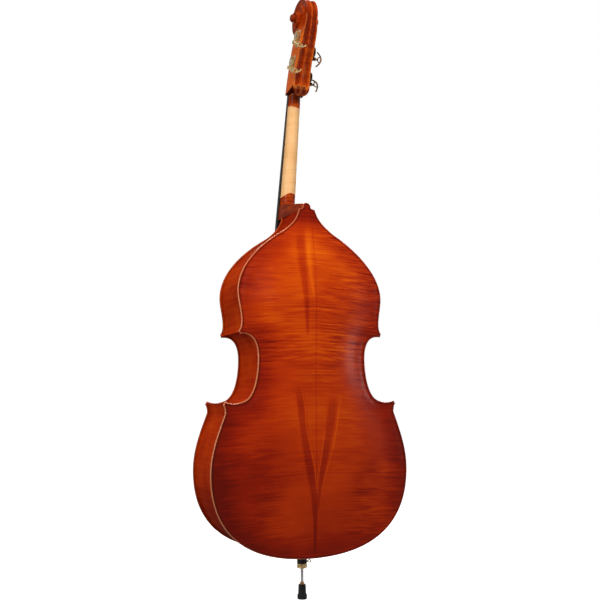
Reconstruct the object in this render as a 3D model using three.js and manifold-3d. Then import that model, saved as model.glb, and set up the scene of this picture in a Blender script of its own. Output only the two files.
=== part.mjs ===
// Double bass of the common three-quarter size, with sloping shoulders and violin corners.
// Millimetres. +Z is up, +Y is the back, -Y the belly and strings, +X the treble side.
// The origin is the centre of the endpin tip's flat underside.
import * as THREE from "three";
import { mergeVertices } from "three/addons/utils/BufferGeometryUtils.js";
import Module from "manifold-3d";

const wasm = await Module();
wasm.setup();

// ---------------------------------------------------------------- driving dimensions

const gap = 0.3; // between pieces that are glued or that touch

// Half widths and heights of the body outline
const bodyBottom = 141;
const lowerBout = { half: 335, at: 410 };
const waist = { half: 185, at: 757 };
const upperBout = { half: 251, at: 961 };
const shoulder = { half: 88, at: 1172 };
const buttonRoot = { half: 29, at: 1251 };
const button = { half: 14.5, at: 1257, top: 1274 };

// Sound box
const ribHalfDepth = 92;
const ribThickness = 2.5;
const overhang = 6;
const plateThickness = 7;
const backArch = 27;
const topArch = 34;
const archFlatness = 1.5; // above 1 the middle of the arch is flatter than a wave
const archMiddle = 690;
const archHalfLength = 550;
const taperStart = 945;
const taperSlope = 0.13;
const liningThickness = 5.5;
const liningHeight = 16;
const upperRibTop = 1250;
const neckBlockBottom = 1150;
const endBlock = { half: 70, top: 186 };
const bridgeAt = 659;

// Neck, fingerboard and strings
const neckLean = 0.1902;
const neckPlane = { y: -49, z: 1666 }; // where the fingerboard is glued, near the nut
const neckTop = { along: 22, half: 20, thick: 28 };
const neckFoot = { along: -380, half: 26, thick: 37 };
const boardTop = { along: 17.3, half: 21.5, edge: 11, crown: 4 };
const boardEnd = { along: -815, half: 43.5, edge: 12, crown: 10 };
const nutThickness = 8;
const nutProud = 1.5;
const heelTop = 1303;
const scrollEye = { y: 45, z: 1914 };
const scrollRadius = 71;
const bridgeTop = { y: -279, crown: 10 };
const tail = { top: { y: -232, z: 500 }, foot: { y: -121, z: 186 } };

// Pegbox and tuning machines
const pegbox = { y: 3, z: 1732, lean: 0.4625, half: 29.4, taper: 0.0364, slotHalf: 16 };
const rollerPitch = 42;
const rollerRadius = 6;
const coil = { x: 7, half: 6, radius: 8 };
const teeth = 22;
const gearRadius = 16;
const wormRadius = 5.2;
const toothDepth = 0.85;
const toothRoot = toothDepth + 0.4;
const gearFace = { from: 6.5, to: 12.5 };
const wormOut = (gearFace.from + gearFace.to) / 2;
const wormDrop = gearRadius + wormRadius;

// Endpin
const rodRadius = 5;
const rodEnds = { low: 12.3, high: 452 };
const plugBottom = 110;
const plugRadius = 16;
const plugStem = { radius: 13, top: 190 };
const wireRadius = 2;
const wireAt = 133;
const screwAt = 114;

// ---------------------------------------------------------------- solids

const vec = (x, y, z) => new THREE.Vector3(x, y, z);

// A closed geometry as a solid that can be joined and cut.
// One that is placed by a mirroring matrix is turned right side out.
function solid(geometry, matrix = new THREE.Matrix4()) {
  const bare = geometry.index ? geometry.toNonIndexed() : geometry.clone();
  bare.deleteAttribute("normal");
  bare.deleteAttribute("uv");
  const merged = mergeVertices(bare.applyMatrix4(matrix), 1e-4);
  const triVerts = new Uint32Array(merged.index.array);
  if (matrix.determinant() < 0) {
    triVerts.reverse();
  }
  const mesh = new wasm.Mesh({ numProp: 3, vertProperties: merged.attributes.position.array, triVerts });
  return new wasm.Manifold(mesh);
}

function geometryOf(manifold) {
  const mesh = manifold.getMesh();
  const geometry = new THREE.BufferGeometry();
  geometry.setAttribute("position", new THREE.BufferAttribute(mesh.vertProperties, 3));
  geometry.setIndex(new THREE.BufferAttribute(mesh.triVerts, 1));
  const flat = geometry.toNonIndexed();
  flat.computeVertexNormals();
  return flat;
}

const join = (...solids) => solids.reduce((all, next) => all.add(next));
const cut = (whole, ...tools) => tools.reduce((left, tool) => left.subtract(tool), whole);
const common = (...solids) => solids.reduce((all, next) => all.intersect(next));

function shapeOf(points) {
  return new THREE.Shape(points.map(([x, y]) => new THREE.Vector2(x, y)));
}

const mirrored = (points) => points.map(([x, z]) => [-x, z]).reverse();

function extruded(shape, depth) {
  return new THREE.ExtrudeGeometry(shape, { depth, bevelEnabled: false, curveSegments: 8 });
}

// [x, z] outline drawn out along Y
function prismY(points, low, high) {
  return extruded(shapeOf(points), high - low).rotateX(Math.PI / 2).translate(0, high, 0);
}

// [y, z] outline drawn out along X, to the same distance on both sides
function prismX(points, half) {
  const across = extruded(shapeOf(points), 2 * half).translate(0, 0, -half);
  return across.applyMatrix4(new THREE.Matrix4().set(0, 0, 1, 0, 1, 0, 0, 0, 0, 1, 0, 0, 0, 0, 0, 1));
}

// [x, y] outline drawn out along Z
function prismZ(points, low, high) {
  return extruded(shapeOf(points), high - low).translate(0, 0, low);
}

function box(low, high) {
  const size = high.map((value, i) => value - low[i]);
  const middle = high.map((value, i) => (value + low[i]) / 2);
  return new THREE.BoxGeometry(...size).translate(...middle);
}

// [radius, z] profile turned about the Z axis
function turned(profile, sides = 16) {
  const points = profile.map(([radius, z]) => new THREE.Vector2(radius, z));
  return new THREE.LatheGeometry(points, sides).rotateX(Math.PI / 2);
}

// [radius, x] profile turned about the X axis
function turnedX(profile, sides) {
  const points = profile.map(([radius, x]) => new THREE.Vector2(radius, x));
  return new THREE.LatheGeometry(points, sides).rotateZ(-Math.PI / 2);
}

// A rod along X from one end to the other
function rodX(radius, from, to, sides = 16) {
  const rod = new THREE.CylinderGeometry(radius, radius, to - from, sides);
  return rod.rotateZ(-Math.PI / 2).translate((from + to) / 2, 0, 0);
}

// Rings of the same number of points, joined to each other and closed at both ends
function loft(rings) {
  const count = rings[0].length;
  const geometry = new THREE.BufferGeometry().setFromPoints(rings.flat());
  const index = [];
  for (let ring = 0; ring + 1 < rings.length; ring++) {
    for (let i = 0; i < count; i++) {
      const a = ring * count + i;
      const b = ring * count + ((i + 1) % count);
      index.push(a, b, b + count, a, b + count, a + count);
    }
  }
  const last = (rings.length - 1) * count;
  for (let i = 1; i + 1 < count; i++) {
    index.push(0, i + 1, i, last, last + i, last + i + 1);
  }
  geometry.setIndex(index);
  return geometry;
}

// A chain of straight stretches. One extrusion step for each keeps every bend at its own point.
class Chain extends THREE.Curve {
  constructor(points) {
    super();
    this.points = points;
  }
  getPoint(t, target = new THREE.Vector3()) {
    const stretches = this.points.length - 1;
    const i = Math.min(stretches - 1, Math.floor(t * stretches));
    return target.lerpVectors(this.points[i], this.points[i + 1], t * stretches - i);
  }
  getUtoTmapping(u) {
    return u;
  }
}

function tube(points, radius, sides = 8) {
  const turn = (2 * Math.PI) / sides;
  const section = Array.from({ length: sides }, (_, i) => [
    radius * Math.cos(i * turn),
    radius * Math.sin(i * turn),
  ]);
  return new THREE.ExtrudeGeometry(shapeOf(section), {
    steps: points.length - 1,
    extrudePath: new Chain(points),
  });
}

// ---------------------------------------------------------------- finishes

const finishes = {
  varnished_maple: { color: "#8c2f0b", roughness: 0.32, metalness: 0 },
  varnished_spruce: { color: "#a5430f", roughness: 0.35, metalness: 0 },
  bare_spruce: { color: "#d8b27a", roughness: 0.8, metalness: 0 },
  ebony: { color: "#15110f", roughness: 0.35, metalness: 0 },
  bridge_maple: { color: "#d9b988", roughness: 0.6, metalness: 0 },
  brass: { color: "#c79a4b", roughness: 0.25, metalness: 1 },
  steel: { color: "#c8c8c6", roughness: 0.25, metalness: 1 },
  copper: { color: "#b0693f", roughness: 0.3, metalness: 1 },
  rubber: { color: "#1b1b1c", roughness: 0.8, metalness: 0 },
};

const group = new THREE.Group();
group.name = "double_bass";

function addPiece(name, shape, finish) {
  const geometry = shape.isBufferGeometry ? shape : geometryOf(shape);
  const mesh = new THREE.Mesh(geometry, new THREE.MeshStandardMaterial(finishes[finish]));
  mesh.name = name;
  group.add(mesh);
  return mesh;
}

// ---------------------------------------------------------------- body outline

// The treble half of the outline in three stretches that end at the corners' cut tips.
const lowerEdge = new THREE.Path()
  .moveTo(0, bodyBottom)
  .bezierCurveTo(188, bodyBottom, lowerBout.half, 210, lowerBout.half, lowerBout.at)
  .bezierCurveTo(lowerBout.half, 473, 310, 534, 290, 587)
  .bezierCurveTo(291, 603, 292, 606, 297, 614);
const waistEdge = new THREE.Path()
  .moveTo(291, 623)
  .bezierCurveTo(271, 616, 259, 614, 234, 623)
  .bezierCurveTo(190, 637, waist.half, 725, waist.half, waist.at)
  .bezierCurveTo(waist.half, 785, 191, 838, 243.5, 830);
const upperEdge = new THREE.Path()
  .moveTo(248, 840)
  .bezierCurveTo(227, 866, upperBout.half, 924, upperBout.half, upperBout.at)
  .bezierCurveTo(upperBout.half, 1050, 165, 1125, shoulder.half, shoulder.at)
  .bezierCurveTo(61, 1193, 35, 1216, buttonRoot.half, buttonRoot.at);
const buttonEdge = new THREE.Path()
  .moveTo(buttonRoot.half, buttonRoot.at)
  .bezierCurveTo(25, 1254, 15.5, 1251.5, button.half, button.at)
  .bezierCurveTo(button.half, 1268, 9, button.top, 0, button.top);

// The edge of the arching: the same bouts without the corners
const archEdge = new THREE.Path()
  .moveTo(0, bodyBottom)
  .bezierCurveTo(188, bodyBottom, lowerBout.half, 210, lowerBout.half, lowerBout.at)
  .bezierCurveTo(lowerBout.half, 560, waist.half, 640, waist.half, waist.at)
  .bezierCurveTo(waist.half, 850, upperBout.half, 880, upperBout.half, upperBout.at)
  .bezierCurveTo(upperBout.half, 1050, 165, 1125, shoulder.half, shoulder.at)
  .bezierCurveTo(61, 1193, 35, 1216, buttonRoot.half, buttonRoot.at);

// Points along a path, closer on its short curves
function sampled(path) {
  const points = path.curves.flatMap((curve) => {
    const divisions = Math.max(5, Math.ceil(curve.getLength() / 38));
    return curve.getPoints(divisions).slice(0, -1);
  });
  const last = path.curves.at(-1).getPoint(1);
  return [...points, last].map((point) => [point.x, point.y]);
}

const stretches = { lower: sampled(lowerEdge), waist: sampled(waistEdge), upper: sampled(upperEdge) };
const halfBelly = [...stretches.lower, ...stretches.waist, ...stretches.upper];
const halfBack = [...halfBelly.slice(0, -1), ...sampled(buttonEdge)];

const bellyOutline = [...halfBelly, ...mirrored(halfBelly).slice(0, -1)];
const backOutline = [...halfBack, ...mirrored(halfBack).slice(1, -1)];

// A stretch moved inwards, square to itself
function inset(points, distance) {
  return points.map(([x, z], i) => {
    const [x0, z0] = points[Math.max(0, i - 1)];
    const [x1, z1] = points[Math.min(points.length - 1, i + 1)];
    const length = Math.hypot(x1 - x0, z1 - z0);
    return [x - (distance * (z1 - z0)) / length, z + (distance * (x1 - x0)) / length];
  });
}

// A stretch carried straight on past both of its ends
function lengthened(points, extra) {
  const beyond = ([x0, z0], [x1, z1]) => {
    const scale = extra / Math.hypot(x1 - x0, z1 - z0);
    return [x0 + (x0 - x1) * scale, z0 + (z0 - z1) * scale];
  };
  return [beyond(points[0], points[1]), ...points, beyond(points.at(-1), points.at(-2))];
}

// What lies on the side of a line that its normal points to
function clipped(points, line) {
  const side = ([x, z]) => (x - line.x) * line.nx + (z - line.z) * line.nz;
  return points.flatMap((point, i) => {
    const next = points[(i + 1) % points.length];
    const here = side(point);
    const there = side(next);
    const kept = here >= 0 ? [point] : [];
    if (here >= 0 === there >= 0) {
      return kept;
    }
    const t = here / (here - there);
    return [...kept, [point[0] + t * (next[0] - point[0]), point[1] + t * (next[1] - point[1])]];
  });
}

// The mitre line of a corner, with its normal pointing up. Each side edge is given from its tip inwards.
function mitre(lowSide, highSide) {
  const inward = (side) => vec(side[1][0] - side[0][0], side[1][1] - side[0][1], 0).normalize();
  const along = inward(lowSide).add(inward(highSide)).normalize();
  const x = (lowSide[0][0] + highSide[0][0]) / 2;
  const z = (lowSide[0][1] + highSide[0][1]) / 2;
  return { x, z, nx: along.y, nz: -along.x };
}

const backwards = (points) => [...points].reverse();
const lowerMitre = mitre(backwards(stretches.lower), stretches.waist);
const upperMitre = mitre(backwards(stretches.waist), stretches.upper);

const moved = (line, by) => ({ ...line, x: line.x + by * line.nx, z: line.z + by * line.nz });
const flipped = (line) => ({ ...line, nx: -line.nx, nz: -line.nz });
const centreLine = { x: 0, z: 0, nx: 1, nz: 0 };

// A strip between two insets of each stretch, each mitred at the corners with some room
function strips(outer, inner, room, extra = 0) {
  const strip = (stretch, ...lines) => {
    const points = extra > 0 ? lengthened(stretch, extra) : stretch;
    return lines.reduce(clipped, [...inset(points, outer), ...backwards(inset(points, inner))]);
  };
  return {
    lower: strip(stretches.lower, moved(centreLine, room), flipped(moved(lowerMitre, -room))),
    c: strip(stretches.waist, moved(lowerMitre, room), flipped(moved(upperMitre, -room))),
    upper: strip(stretches.upper, moved(upperMitre, room)),
  };
}

// ---------------------------------------------------------------- sound box

const ribBack = (z) => ribHalfDepth - taperSlope * Math.max(0, z - taperStart);

// Everything between the two plates, moved in from the back, or from the belly, by a distance
function depthBetween(fromFront, fromBack) {
  const front = -ribHalfDepth + fromFront;
  const heights = [0, taperStart, 1400];
  return solid(prismX([[front, 0], ...heights.map((z) => [ribBack(z) - fromBack, z]), [front, 1400]], 400));
}

const archPoints = sampled(archEdge);

function archHalfWidth(z) {
  const i = Math.max(1, archPoints.findIndex(([, height]) => height >= z));
  const [x0, z0] = archPoints[i - 1];
  const [x1, z1] = archPoints[i];
  return Math.max(1, x0 + ((x1 - x0) * (z - z0)) / (z1 - z0));
}

const halfWave = (t) => (1 + Math.cos(Math.PI * Math.min(1, t))) / 2;

// Height of the arching above its edge
function arching(height, x, z) {
  if (z <= bodyBottom || z >= buttonRoot.at) {
    return 0;
  }
  const along = Math.abs(z - archMiddle) / archHalfLength;
  const across = Math.abs(x) / archHalfWidth(z);
  return height * halfWave(across ** archFlatness) * halfWave(along ** 2);
}

const backInside = (x, z) => ribBack(z) + gap + arching(backArch, x, z);
const topInside = (x, z) => -ribHalfDepth - gap - arching(topArch, x, z);

// A grid of squares with one row on the line where the back starts to taper
function plate(outline, inside, direction) {
  const square = 50;
  const low = taperStart - 17 * square;
  const high = taperStart + 7 * square;
  const width = 14 * square;
  const slab = new THREE.BoxGeometry(width, 2, high - low, width / square, 1, (high - low) / square);
  slab.translate(0, 0, (low + high) / 2);
  const position = slab.attributes.position;
  for (let i = 0; i < position.count; i++) {
    const outer = position.getY(i) * direction > 0;
    const y = inside(position.getX(i), position.getZ(i)) + (outer ? direction * plateThickness : 0);
    position.setY(i, y);
  }
  return common(solid(slab), solid(prismY(outline, -200, 200)));
}

const backPlate = plate(backOutline, backInside, 1);

// One f-hole: a curved stem that is widest half way, with a round hole at each end
function fHole(side) {
  const bends = [
    [80, 742], [88, 759], [99, 754], [104, 730], [107, bridgeAt],
    [111, 590], [117, 562], [129, 555], [137, 570],
  ];
  const middle = new THREE.SplineCurve(bends.map(([x, z]) => new THREE.Vector2(side * x, z)));
  const places = Array.from({ length: 17 }, (_, i) => i / 16);
  const edge = (sign) =>
    places.map((t) => {
      const point = middle.getPointAt(t);
      const tangent = middle.getTangentAt(t);
      const half = sign * (2.5 + 5.5 * Math.sin(Math.PI * t) ** 2);
      return [point.x - half * tangent.y, point.y + half * tangent.x];
    });
  const stem = solid(prismY([...edge(-1), ...backwards(edge(1))], -160, -60));
  const eye = (x, z, radius) => {
    const round = new THREE.CylinderGeometry(radius, radius, 100, 14);
    return solid(round.translate(side * x, -110, z));
  };
  return join(stem, eye(81, 741, 9), eye(136, 571, 12));
}

const saddleHalf = 28;
const saddleTop = 155;
const saddleSeat = solid(box([-saddleHalf - gap, -130, 100], [saddleHalf + gap, -80, saddleTop + gap]));
const belowHeel = solid(box([-400, -200, 0], [400, 200, upperRibTop]));
const bellyPlate = common(plate(bellyOutline, topInside, -1), belowHeel);
const topPlate = cut(bellyPlate, fHole(1), fHole(-1), saddleSeat);

addPiece("back_plate", backPlate, "varnished_maple");
addPiece("top_plate", topPlate, "varnished_spruce");
const saddleFront = -106.5;
addPiece(
  "saddle",
  box([-saddleHalf, saddleFront, bodyBottom + gap], [saddleHalf, -ribHalfDepth - gap, saddleTop]),
  "ebony",
);

const throughBox = (points) => solid(prismY(points, -200, 200));
const ribs = strips(overhang, overhang + ribThickness, gap / 2);
const boxDepth = depthBetween(0, 0);
const plugHoleRadius = plugStem.radius + gap;
const plugHoleRod = new THREE.CylinderGeometry(plugHoleRadius, plugHoleRadius, 120, 20);
const plugHole = solid(plugHoleRod.rotateX(Math.PI / 2).translate(0, 0, 160));

const sides = [
  { name: "treble", sign: 1 },
  { name: "bass", sign: -1 },
];
const onSide = (points, sign) => (sign > 0 ? points : mirrored(points));

for (const { name, sign } of sides) {
  for (const [part, points] of Object.entries(ribs)) {
    const rib = common(throughBox(onSide(points, sign)), boxDepth, belowHeel);
    addPiece(`${part}_rib_${name}`, part === "lower" ? cut(rib, plugHole) : rib, "varnished_maple");
  }
}

// The linings run from the end block round to the neck block, let into the corner blocks.
const insideRib = overhang + ribThickness + gap;

function liningBand(sign, front, room) {
  const bands = strips(insideRib - room, insideRib + liningThickness + room, -0.02);
  const ring = join(...Object.values(bands).map((points) => throughBox(onSide(points, sign))));
  const layer = front
    ? cut(boxDepth, depthBetween(liningHeight + room, -1))
    : cut(boxDepth, depthBetween(-1, liningHeight + room));
  return common(ring, layer);
}

const betweenBlocks = (sign) => {
  const [near, far] = sign > 0 ? [endBlock.half + gap, 400] : [-400, -endBlock.half - gap];
  const side = solid(box([near, -200, 0], [far, 200, 400]));
  const above = solid(box([-400, -200, 400], [400, 200, neckBlockBottom - gap]));
  return join(side, above);
};

for (const { name, sign } of sides) {
  for (const face of ["front", "back"]) {
    const lining = common(liningBand(sign, face === "front", 0), betweenBlocks(sign));
    addPiece(`${face}_lining_${name}`, lining, "bare_spruce");
  }
}

// Blocks fill the room inside the ribs at the neck, at the end and in each corner.
const walls = sides.map(({ sign }) =>
  join(...Object.values(strips(-1, insideRib, -0.01, 9)).map((points) => throughBox(onSide(points, sign)))),
);
const outlinePrism = throughBox(bellyOutline);
const blockIn = (region) => cut(common(region, outlinePrism, boxDepth), ...walls);

const tenon = { half: 17, deep: 48, front: -88, back: 30 };
const mortise = solid(
  box(
    [-tenon.half - gap, tenon.front - gap, upperRibTop - tenon.deep - gap],
    [tenon.half + gap, tenon.back + gap, upperRibTop + 1],
  ),
);
const neckBlockRegion = solid(box([-200, -200, neckBlockBottom], [200, 200, upperRibTop - gap]));
addPiece("neck_block", cut(blockIn(neckBlockRegion), mortise), "bare_spruce");
const endBlockRegion = solid(box([-endBlock.half, -200, 100], [endBlock.half, 200, endBlock.top]));
addPiece("end_block", cut(blockIn(endBlockRegion), plugHole), "bare_spruce");

function cornerRegion(line, sign) {
  const size = 62;
  const turn = Math.atan2(line.nx, -line.nz);
  const square = new THREE.BoxGeometry(size, 400, 100).translate(-size / 2, 0, 0);
  square.rotateY(turn).translate(line.x, 0, line.z);
  return solid(sign > 0 ? square : square.applyMatrix4(new THREE.Matrix4().makeRotationZ(Math.PI)));
}

for (const { name, sign } of sides) {
  const notches = join(liningBand(sign, true, gap), liningBand(sign, false, gap));
  for (const [place, line] of Object.entries({ lower: lowerMitre, upper: upperMitre })) {
    const block = cut(blockIn(cornerRegion(line, sign)), notches);
    addPiece(`${place}_corner_block_${name}`, block, "bare_spruce");
  }
}

// The bass bar follows the inside of the belly; its outer edge is cut to the plate.
const bar = { x: -56, half: 8, low: 330, high: 960, deep: 34, thin: 9 };
const barHeights = Array.from({ length: 19 }, (_, i) => bar.low + ((bar.high - bar.low) * i) / 18);
const barDepth = (z) => {
  const t = (2 * (z - bar.low)) / (bar.high - bar.low) - 1;
  return bar.deep + (bar.thin - bar.deep) * t * t;
};
const barOutline = [
  ...barHeights.map((z) => [topInside(bar.x, z) - 3.5, z]),
  ...backwards(barHeights).map((z) => [topInside(bar.x, z) + barDepth(z), z]),
];
const barBlank = solid(prismX(barOutline, bar.half).translate(bar.x, 0, 0));
addPiece("bass_bar", cut(barBlank, solid(geometryOf(topPlate).translate(0, gap, 0))), "bare_spruce");

const post = { x: 62, z: 628, radius: 9 };
const postRoom = 1;
const postFront = topInside(post.x + post.radius, post.z) + postRoom;
const postBack = backInside(post.x + post.radius, post.z) - postRoom;
const postRod = new THREE.CylinderGeometry(post.radius, post.radius, postBack - postFront, 16);
addPiece("sound_post", postRod.translate(post.x, (postFront + postBack) / 2, post.z), "bare_spruce");

// ---------------------------------------------------------------- neck and fingerboard

// The neck's frame: its origin is on the glue plane, Z runs up the neck and Y towards its back.
const neckFrame = new THREE.Matrix4()
  .makeTranslation(0, neckPlane.y, neckPlane.z)
  .multiply(new THREE.Matrix4().makeRotationX(-neckLean));

function halfRing(place, straight, round, direction) {
  const arc = Array.from({ length: 9 }, (_, i) => (Math.PI * i) / 8);
  const glued = direction > 0 ? 0 : -gap;
  const turn = arc.map((a) =>
    vec(place.half * Math.cos(a), direction * (straight + round * Math.sin(a)), place.along),
  );
  const ring = [vec(place.half, glued, place.along), ...turn, vec(-place.half, glued, place.along)];
  return direction > 0 ? ring : ring.reverse();
}

const shaftSide = 4; // height of the shaft's straight sides
const shaftRings = [neckFoot, neckTop].map((place) =>
  halfRing(place, shaftSide, place.thick - shaftSide, 1),
);
const shaft = loft(shaftRings).applyMatrix4(neckFrame);

const glueY = (z) => neckPlane.y - (neckPlane.z - z) * Math.tan(neckLean);
const heelBottom = upperRibTop + gap;
const heelBack = (z) => ribBack(z) - gap;
const heelSide = [
  [glueY(heelBottom), heelBottom],
  [heelBack(heelBottom), heelBottom],
  [heelBack(1273), 1273],
  [heelBack(1273) - 12, 1277],
  [-40, 1285],
  [-78, 1294],
  [glueY(heelTop) + 36, heelTop],
  [glueY(1330) + 36, 1330],
  [glueY(1330) + 2, 1330],
  [glueY(1290), 1290],
];
const halfHeelPlan = [[28, -150], [28, -92], [25, -50], [15, 30], [14, 50]];
const heelPlan = [...halfHeelPlan, ...mirrored(halfHeelPlan)];
const heel = common(solid(prismX(heelSide, 40)), solid(prismZ(heelPlan, 1200, 1400)));
const tenonBlock = solid(
  box([-tenon.half, tenon.front, upperRibTop - tenon.deep], [tenon.half, tenon.back, heelBottom + 2]),
);

const pegboxFrame = new THREE.Matrix4()
  .makeTranslation(0, pegbox.y, pegbox.z)
  .multiply(new THREE.Matrix4().makeRotationX(-pegbox.lean));
const cheekHalf = (along) => pegbox.half - pegbox.taper * along;

const pegboxBack = new THREE.CubicBezierCurve(
  new THREE.Vector2(21, 1688),
  new THREE.Vector2(28, 1765),
  new THREE.Vector2(106, 1828),
  new THREE.Vector2(115, 1904),
);
const pegboxSide = [
  [-46, 1677],
  [-10, 1664],
  ...pegboxBack.getPoints(10).map((point) => [point.x, point.y]),
  [45, 1890],
  [12, 1852],
  [-4, 1822],
  [-21, 1779],
  [-43, 1711],
  [-48.5, 1693.5],
  [-43.9, 1691.8],
];
const pegboxWidth = [
  [-cheekHalf(-70), -70],
  [-13, -84],
  [13, -84],
  [cheekHalf(-70), -70],
  [cheekHalf(190), 190],
  [-cheekHalf(190), 190],
];
const pegboxSolid = common(
  solid(prismX(pegboxSide, 60)),
  solid(prismY(pegboxWidth, -200, 200).applyMatrix4(pegboxFrame)),
);

const slotSide = [
  [-80, 1697],
  [8, 1703],
  [18, 1740],
  [32, 1772],
  [58, 1812],
  [78, 1846],
  [66, 1868],
  [0, 1838],
  [-80, 1800],
];
const slot = solid(prismX(slotSide, pegbox.slotHalf));

// The scroll's outer turn closes in by a constant ratio. The inner turn and the eye stand out beyond it.
const turnRatio = 0.0536;
const scrollTurn = Array.from({ length: 25 }, (_, i) => {
  const angle = THREE.MathUtils.degToRad(-40 + (330 * i) / 24);
  const radius = scrollRadius * Math.exp(-turnRatio * angle);
  return [scrollEye.y + radius * Math.cos(angle), scrollEye.z + radius * Math.sin(angle)];
});
const scrollSteps = [
  { radius: 40, half: 27 },
  { radius: 25, half: 35 },
  { radius: 12, half: 49 },
];
const scrollRounds = scrollSteps.map(({ radius, half }) =>
  solid(rodX(radius, -half, half, 24).translate(0, scrollEye.y, scrollEye.z)),
);
const scroll = join(solid(prismX(scrollTurn, 21)), ...scrollRounds);

// ---------------------------------------------------------------- tuning machines

// A machine's frame has its origin at the gear's centre, on the cheek's face.
// Its X points out of the cheek, Y back and Z up the cheek.
function machineFrame({ sign, along }) {
  return new THREE.Matrix4()
    .makeScale(sign, 1, 1)
    .multiply(pegboxFrame)
    .multiply(new THREE.Matrix4().makeTranslation(cheekHalf(along), 0, along))
    .multiply(new THREE.Matrix4().makeRotationY(-Math.atan(pegbox.taper)));
}

const machines = [
  { string: "e", sign: -1, place: 0, keyTurn: 125 },
  { string: "g", sign: 1, place: 1, keyTurn: -3 },
  { string: "a", sign: -1, place: 2, keyTurn: 92 },
  { string: "d", sign: 1, place: 3, keyTurn: 11 },
].map((machine) => ({ ...machine, along: machine.place * rollerPitch }));

const rollerHoles = machines.map((machine) => {
  const reach = cheekHalf(machine.along) + pegbox.slotHalf + 6;
  return solid(rodX(rollerRadius + gap, -reach, 5), machineFrame(machine));
});

const neck = cut(join(solid(shaft), heel, tenonBlock, pegboxSolid, scroll), slot, ...rollerHoles);
addPiece("neck", neck, "varnished_maple");

function machinePlate() {
  const halfRim = [[11, -35], [16, -31], [18, -14], [13, 14], [6, 22]];
  const rim = [...halfRim, ...mirrored(halfRim)];
  const sheet = solid(prismX(rim, 1.1).translate(1.4, 0, 0));
  const ear = (y) => solid(box([1, y - 2, -wormDrop - 6], [wormOut + 5, y + 2, -wormDrop + 6]));
  const bore = solid(new THREE.CylinderGeometry(3 + gap, 3 + gap, 60, 12).translate(wormOut, 0, -wormDrop));
  return cut(join(sheet, ear(-15.5), ear(15.5)), bore, solid(rodX(rollerRadius + gap, -5, 5)));
}

// Worm thread: a ridge that rises one tooth of the wheel in each turn
function wormThread() {
  const pitch = (2 * Math.PI * gearRadius) / teeth;
  const perTurn = 8;
  const turns = 3;
  const ridge = [[-1.2, -toothRoot - 0.5], [-0.5, toothDepth], [0.5, toothDepth], [1.2, -toothRoot - 0.5]];
  const rings = Array.from({ length: perTurn * turns + 1 }, (_, i) => {
    const angle = (2 * Math.PI * i) / perTurn;
    const rise = pitch * (i / perTurn - turns / 2 - 0.75);
    return ridge.map(([along, out]) => {
      const radius = wormRadius + out;
      return vec(radius * Math.cos(angle), rise + along, radius * Math.sin(angle));
    });
  });
  return solid(loft(rings));
}

// The key is a bowed bar, swept back at its tips, that two short arms carry beside the spindle.
const keyBar = { half: 24, bow: 14, above: 4, at: 51, sweep: 7, radius: 2.8 };
const keyArm = { from: 43, share: 0.42, radius: 2 };

// A point of the bar: -1 and 1 are its tips, 0 is its middle
function keyPoint(share) {
  const square = share * share;
  return vec(keyBar.half * share, keyBar.at - keyBar.sweep * square, keyBar.bow * (square - 1) + keyBar.above);
}

function wormKey(keyTurn) {
  const core = wormRadius - toothRoot;
  const profile = [
    [0, -19], [3, -19], [3, -12.5], [core, -12.5], [core, 12.5],
    [3, 12.5], [3, 40], [4.2, 42], [3.4, 46], [0, 46],
  ];
  const spindle = new THREE.LatheGeometry(profile.map(([r, y]) => new THREE.Vector2(r, y)), 10);
  const bar = tube(Array.from({ length: 9 }, (_, i) => keyPoint(i / 4 - 1)), keyBar.radius);
  const arms = [-1, 1].map((side) =>
    tube([vec(0, keyArm.from, 0), keyPoint(side * keyArm.share)], keyArm.radius),
  );
  const turn = new THREE.Matrix4().makeRotationY(-THREE.MathUtils.degToRad(keyTurn));
  return join(solid(spindle), wormThread(), ...[bar, ...arms].map((shape) => solid(shape, turn)));
}

// Worm wheel, turned by half a tooth so that a gap faces the worm's ridge
function gear() {
  const step = (2 * Math.PI) / teeth;
  const profile = [[-0.3, -toothRoot], [-0.15, toothDepth], [0.15, toothDepth], [0.3, -toothRoot]];
  const rim = Array.from({ length: teeth }, (_, i) =>
    profile.map(([turn, out]) => {
      const angle = -Math.PI / 2 + (i + 0.5 + turn) * step;
      return [(gearRadius + out) * Math.cos(angle), (gearRadius + out) * Math.sin(angle)];
    }),
  ).flat();
  const half = (gearFace.to - gearFace.from) / 2;
  const wheel = solid(prismX(rim, half).translate(wormOut, 0, 0));
  return cut(wheel, solid(rodX(3 + gap, 0, 20, 12)));
}

// The roller turns in both cheeks; its coil of string is a thicker stretch.
function roller({ along }) {
  const far = -(cheekHalf(along) + pegbox.slotHalf + 5);
  const coilAt = coil.x - cheekHalf(along);
  const profile = [
    [0, far],
    [rollerRadius, far],
    [rollerRadius, coilAt - coil.half - 1],
    [coil.radius, coilAt - coil.half],
    [coil.radius, coilAt + coil.half],
    [rollerRadius, coilAt + coil.half + 1],
    [rollerRadius, gearFace.from - gap],
    [3, gearFace.from - gap],
    [3, 9],
    [0, 9],
  ];
  return turnedX(profile, 12);
}

function gearScrew() {
  const head = gearFace.to + gap;
  const tip = 9 + gap;
  const profile = [
    [0, tip], [2.4, tip], [2.4, head], [5.5, head], [5.5, head + 1.6], [3.5, head + 2.6], [0, head + 2.6],
  ];
  return turnedX(profile, 10);
}

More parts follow.
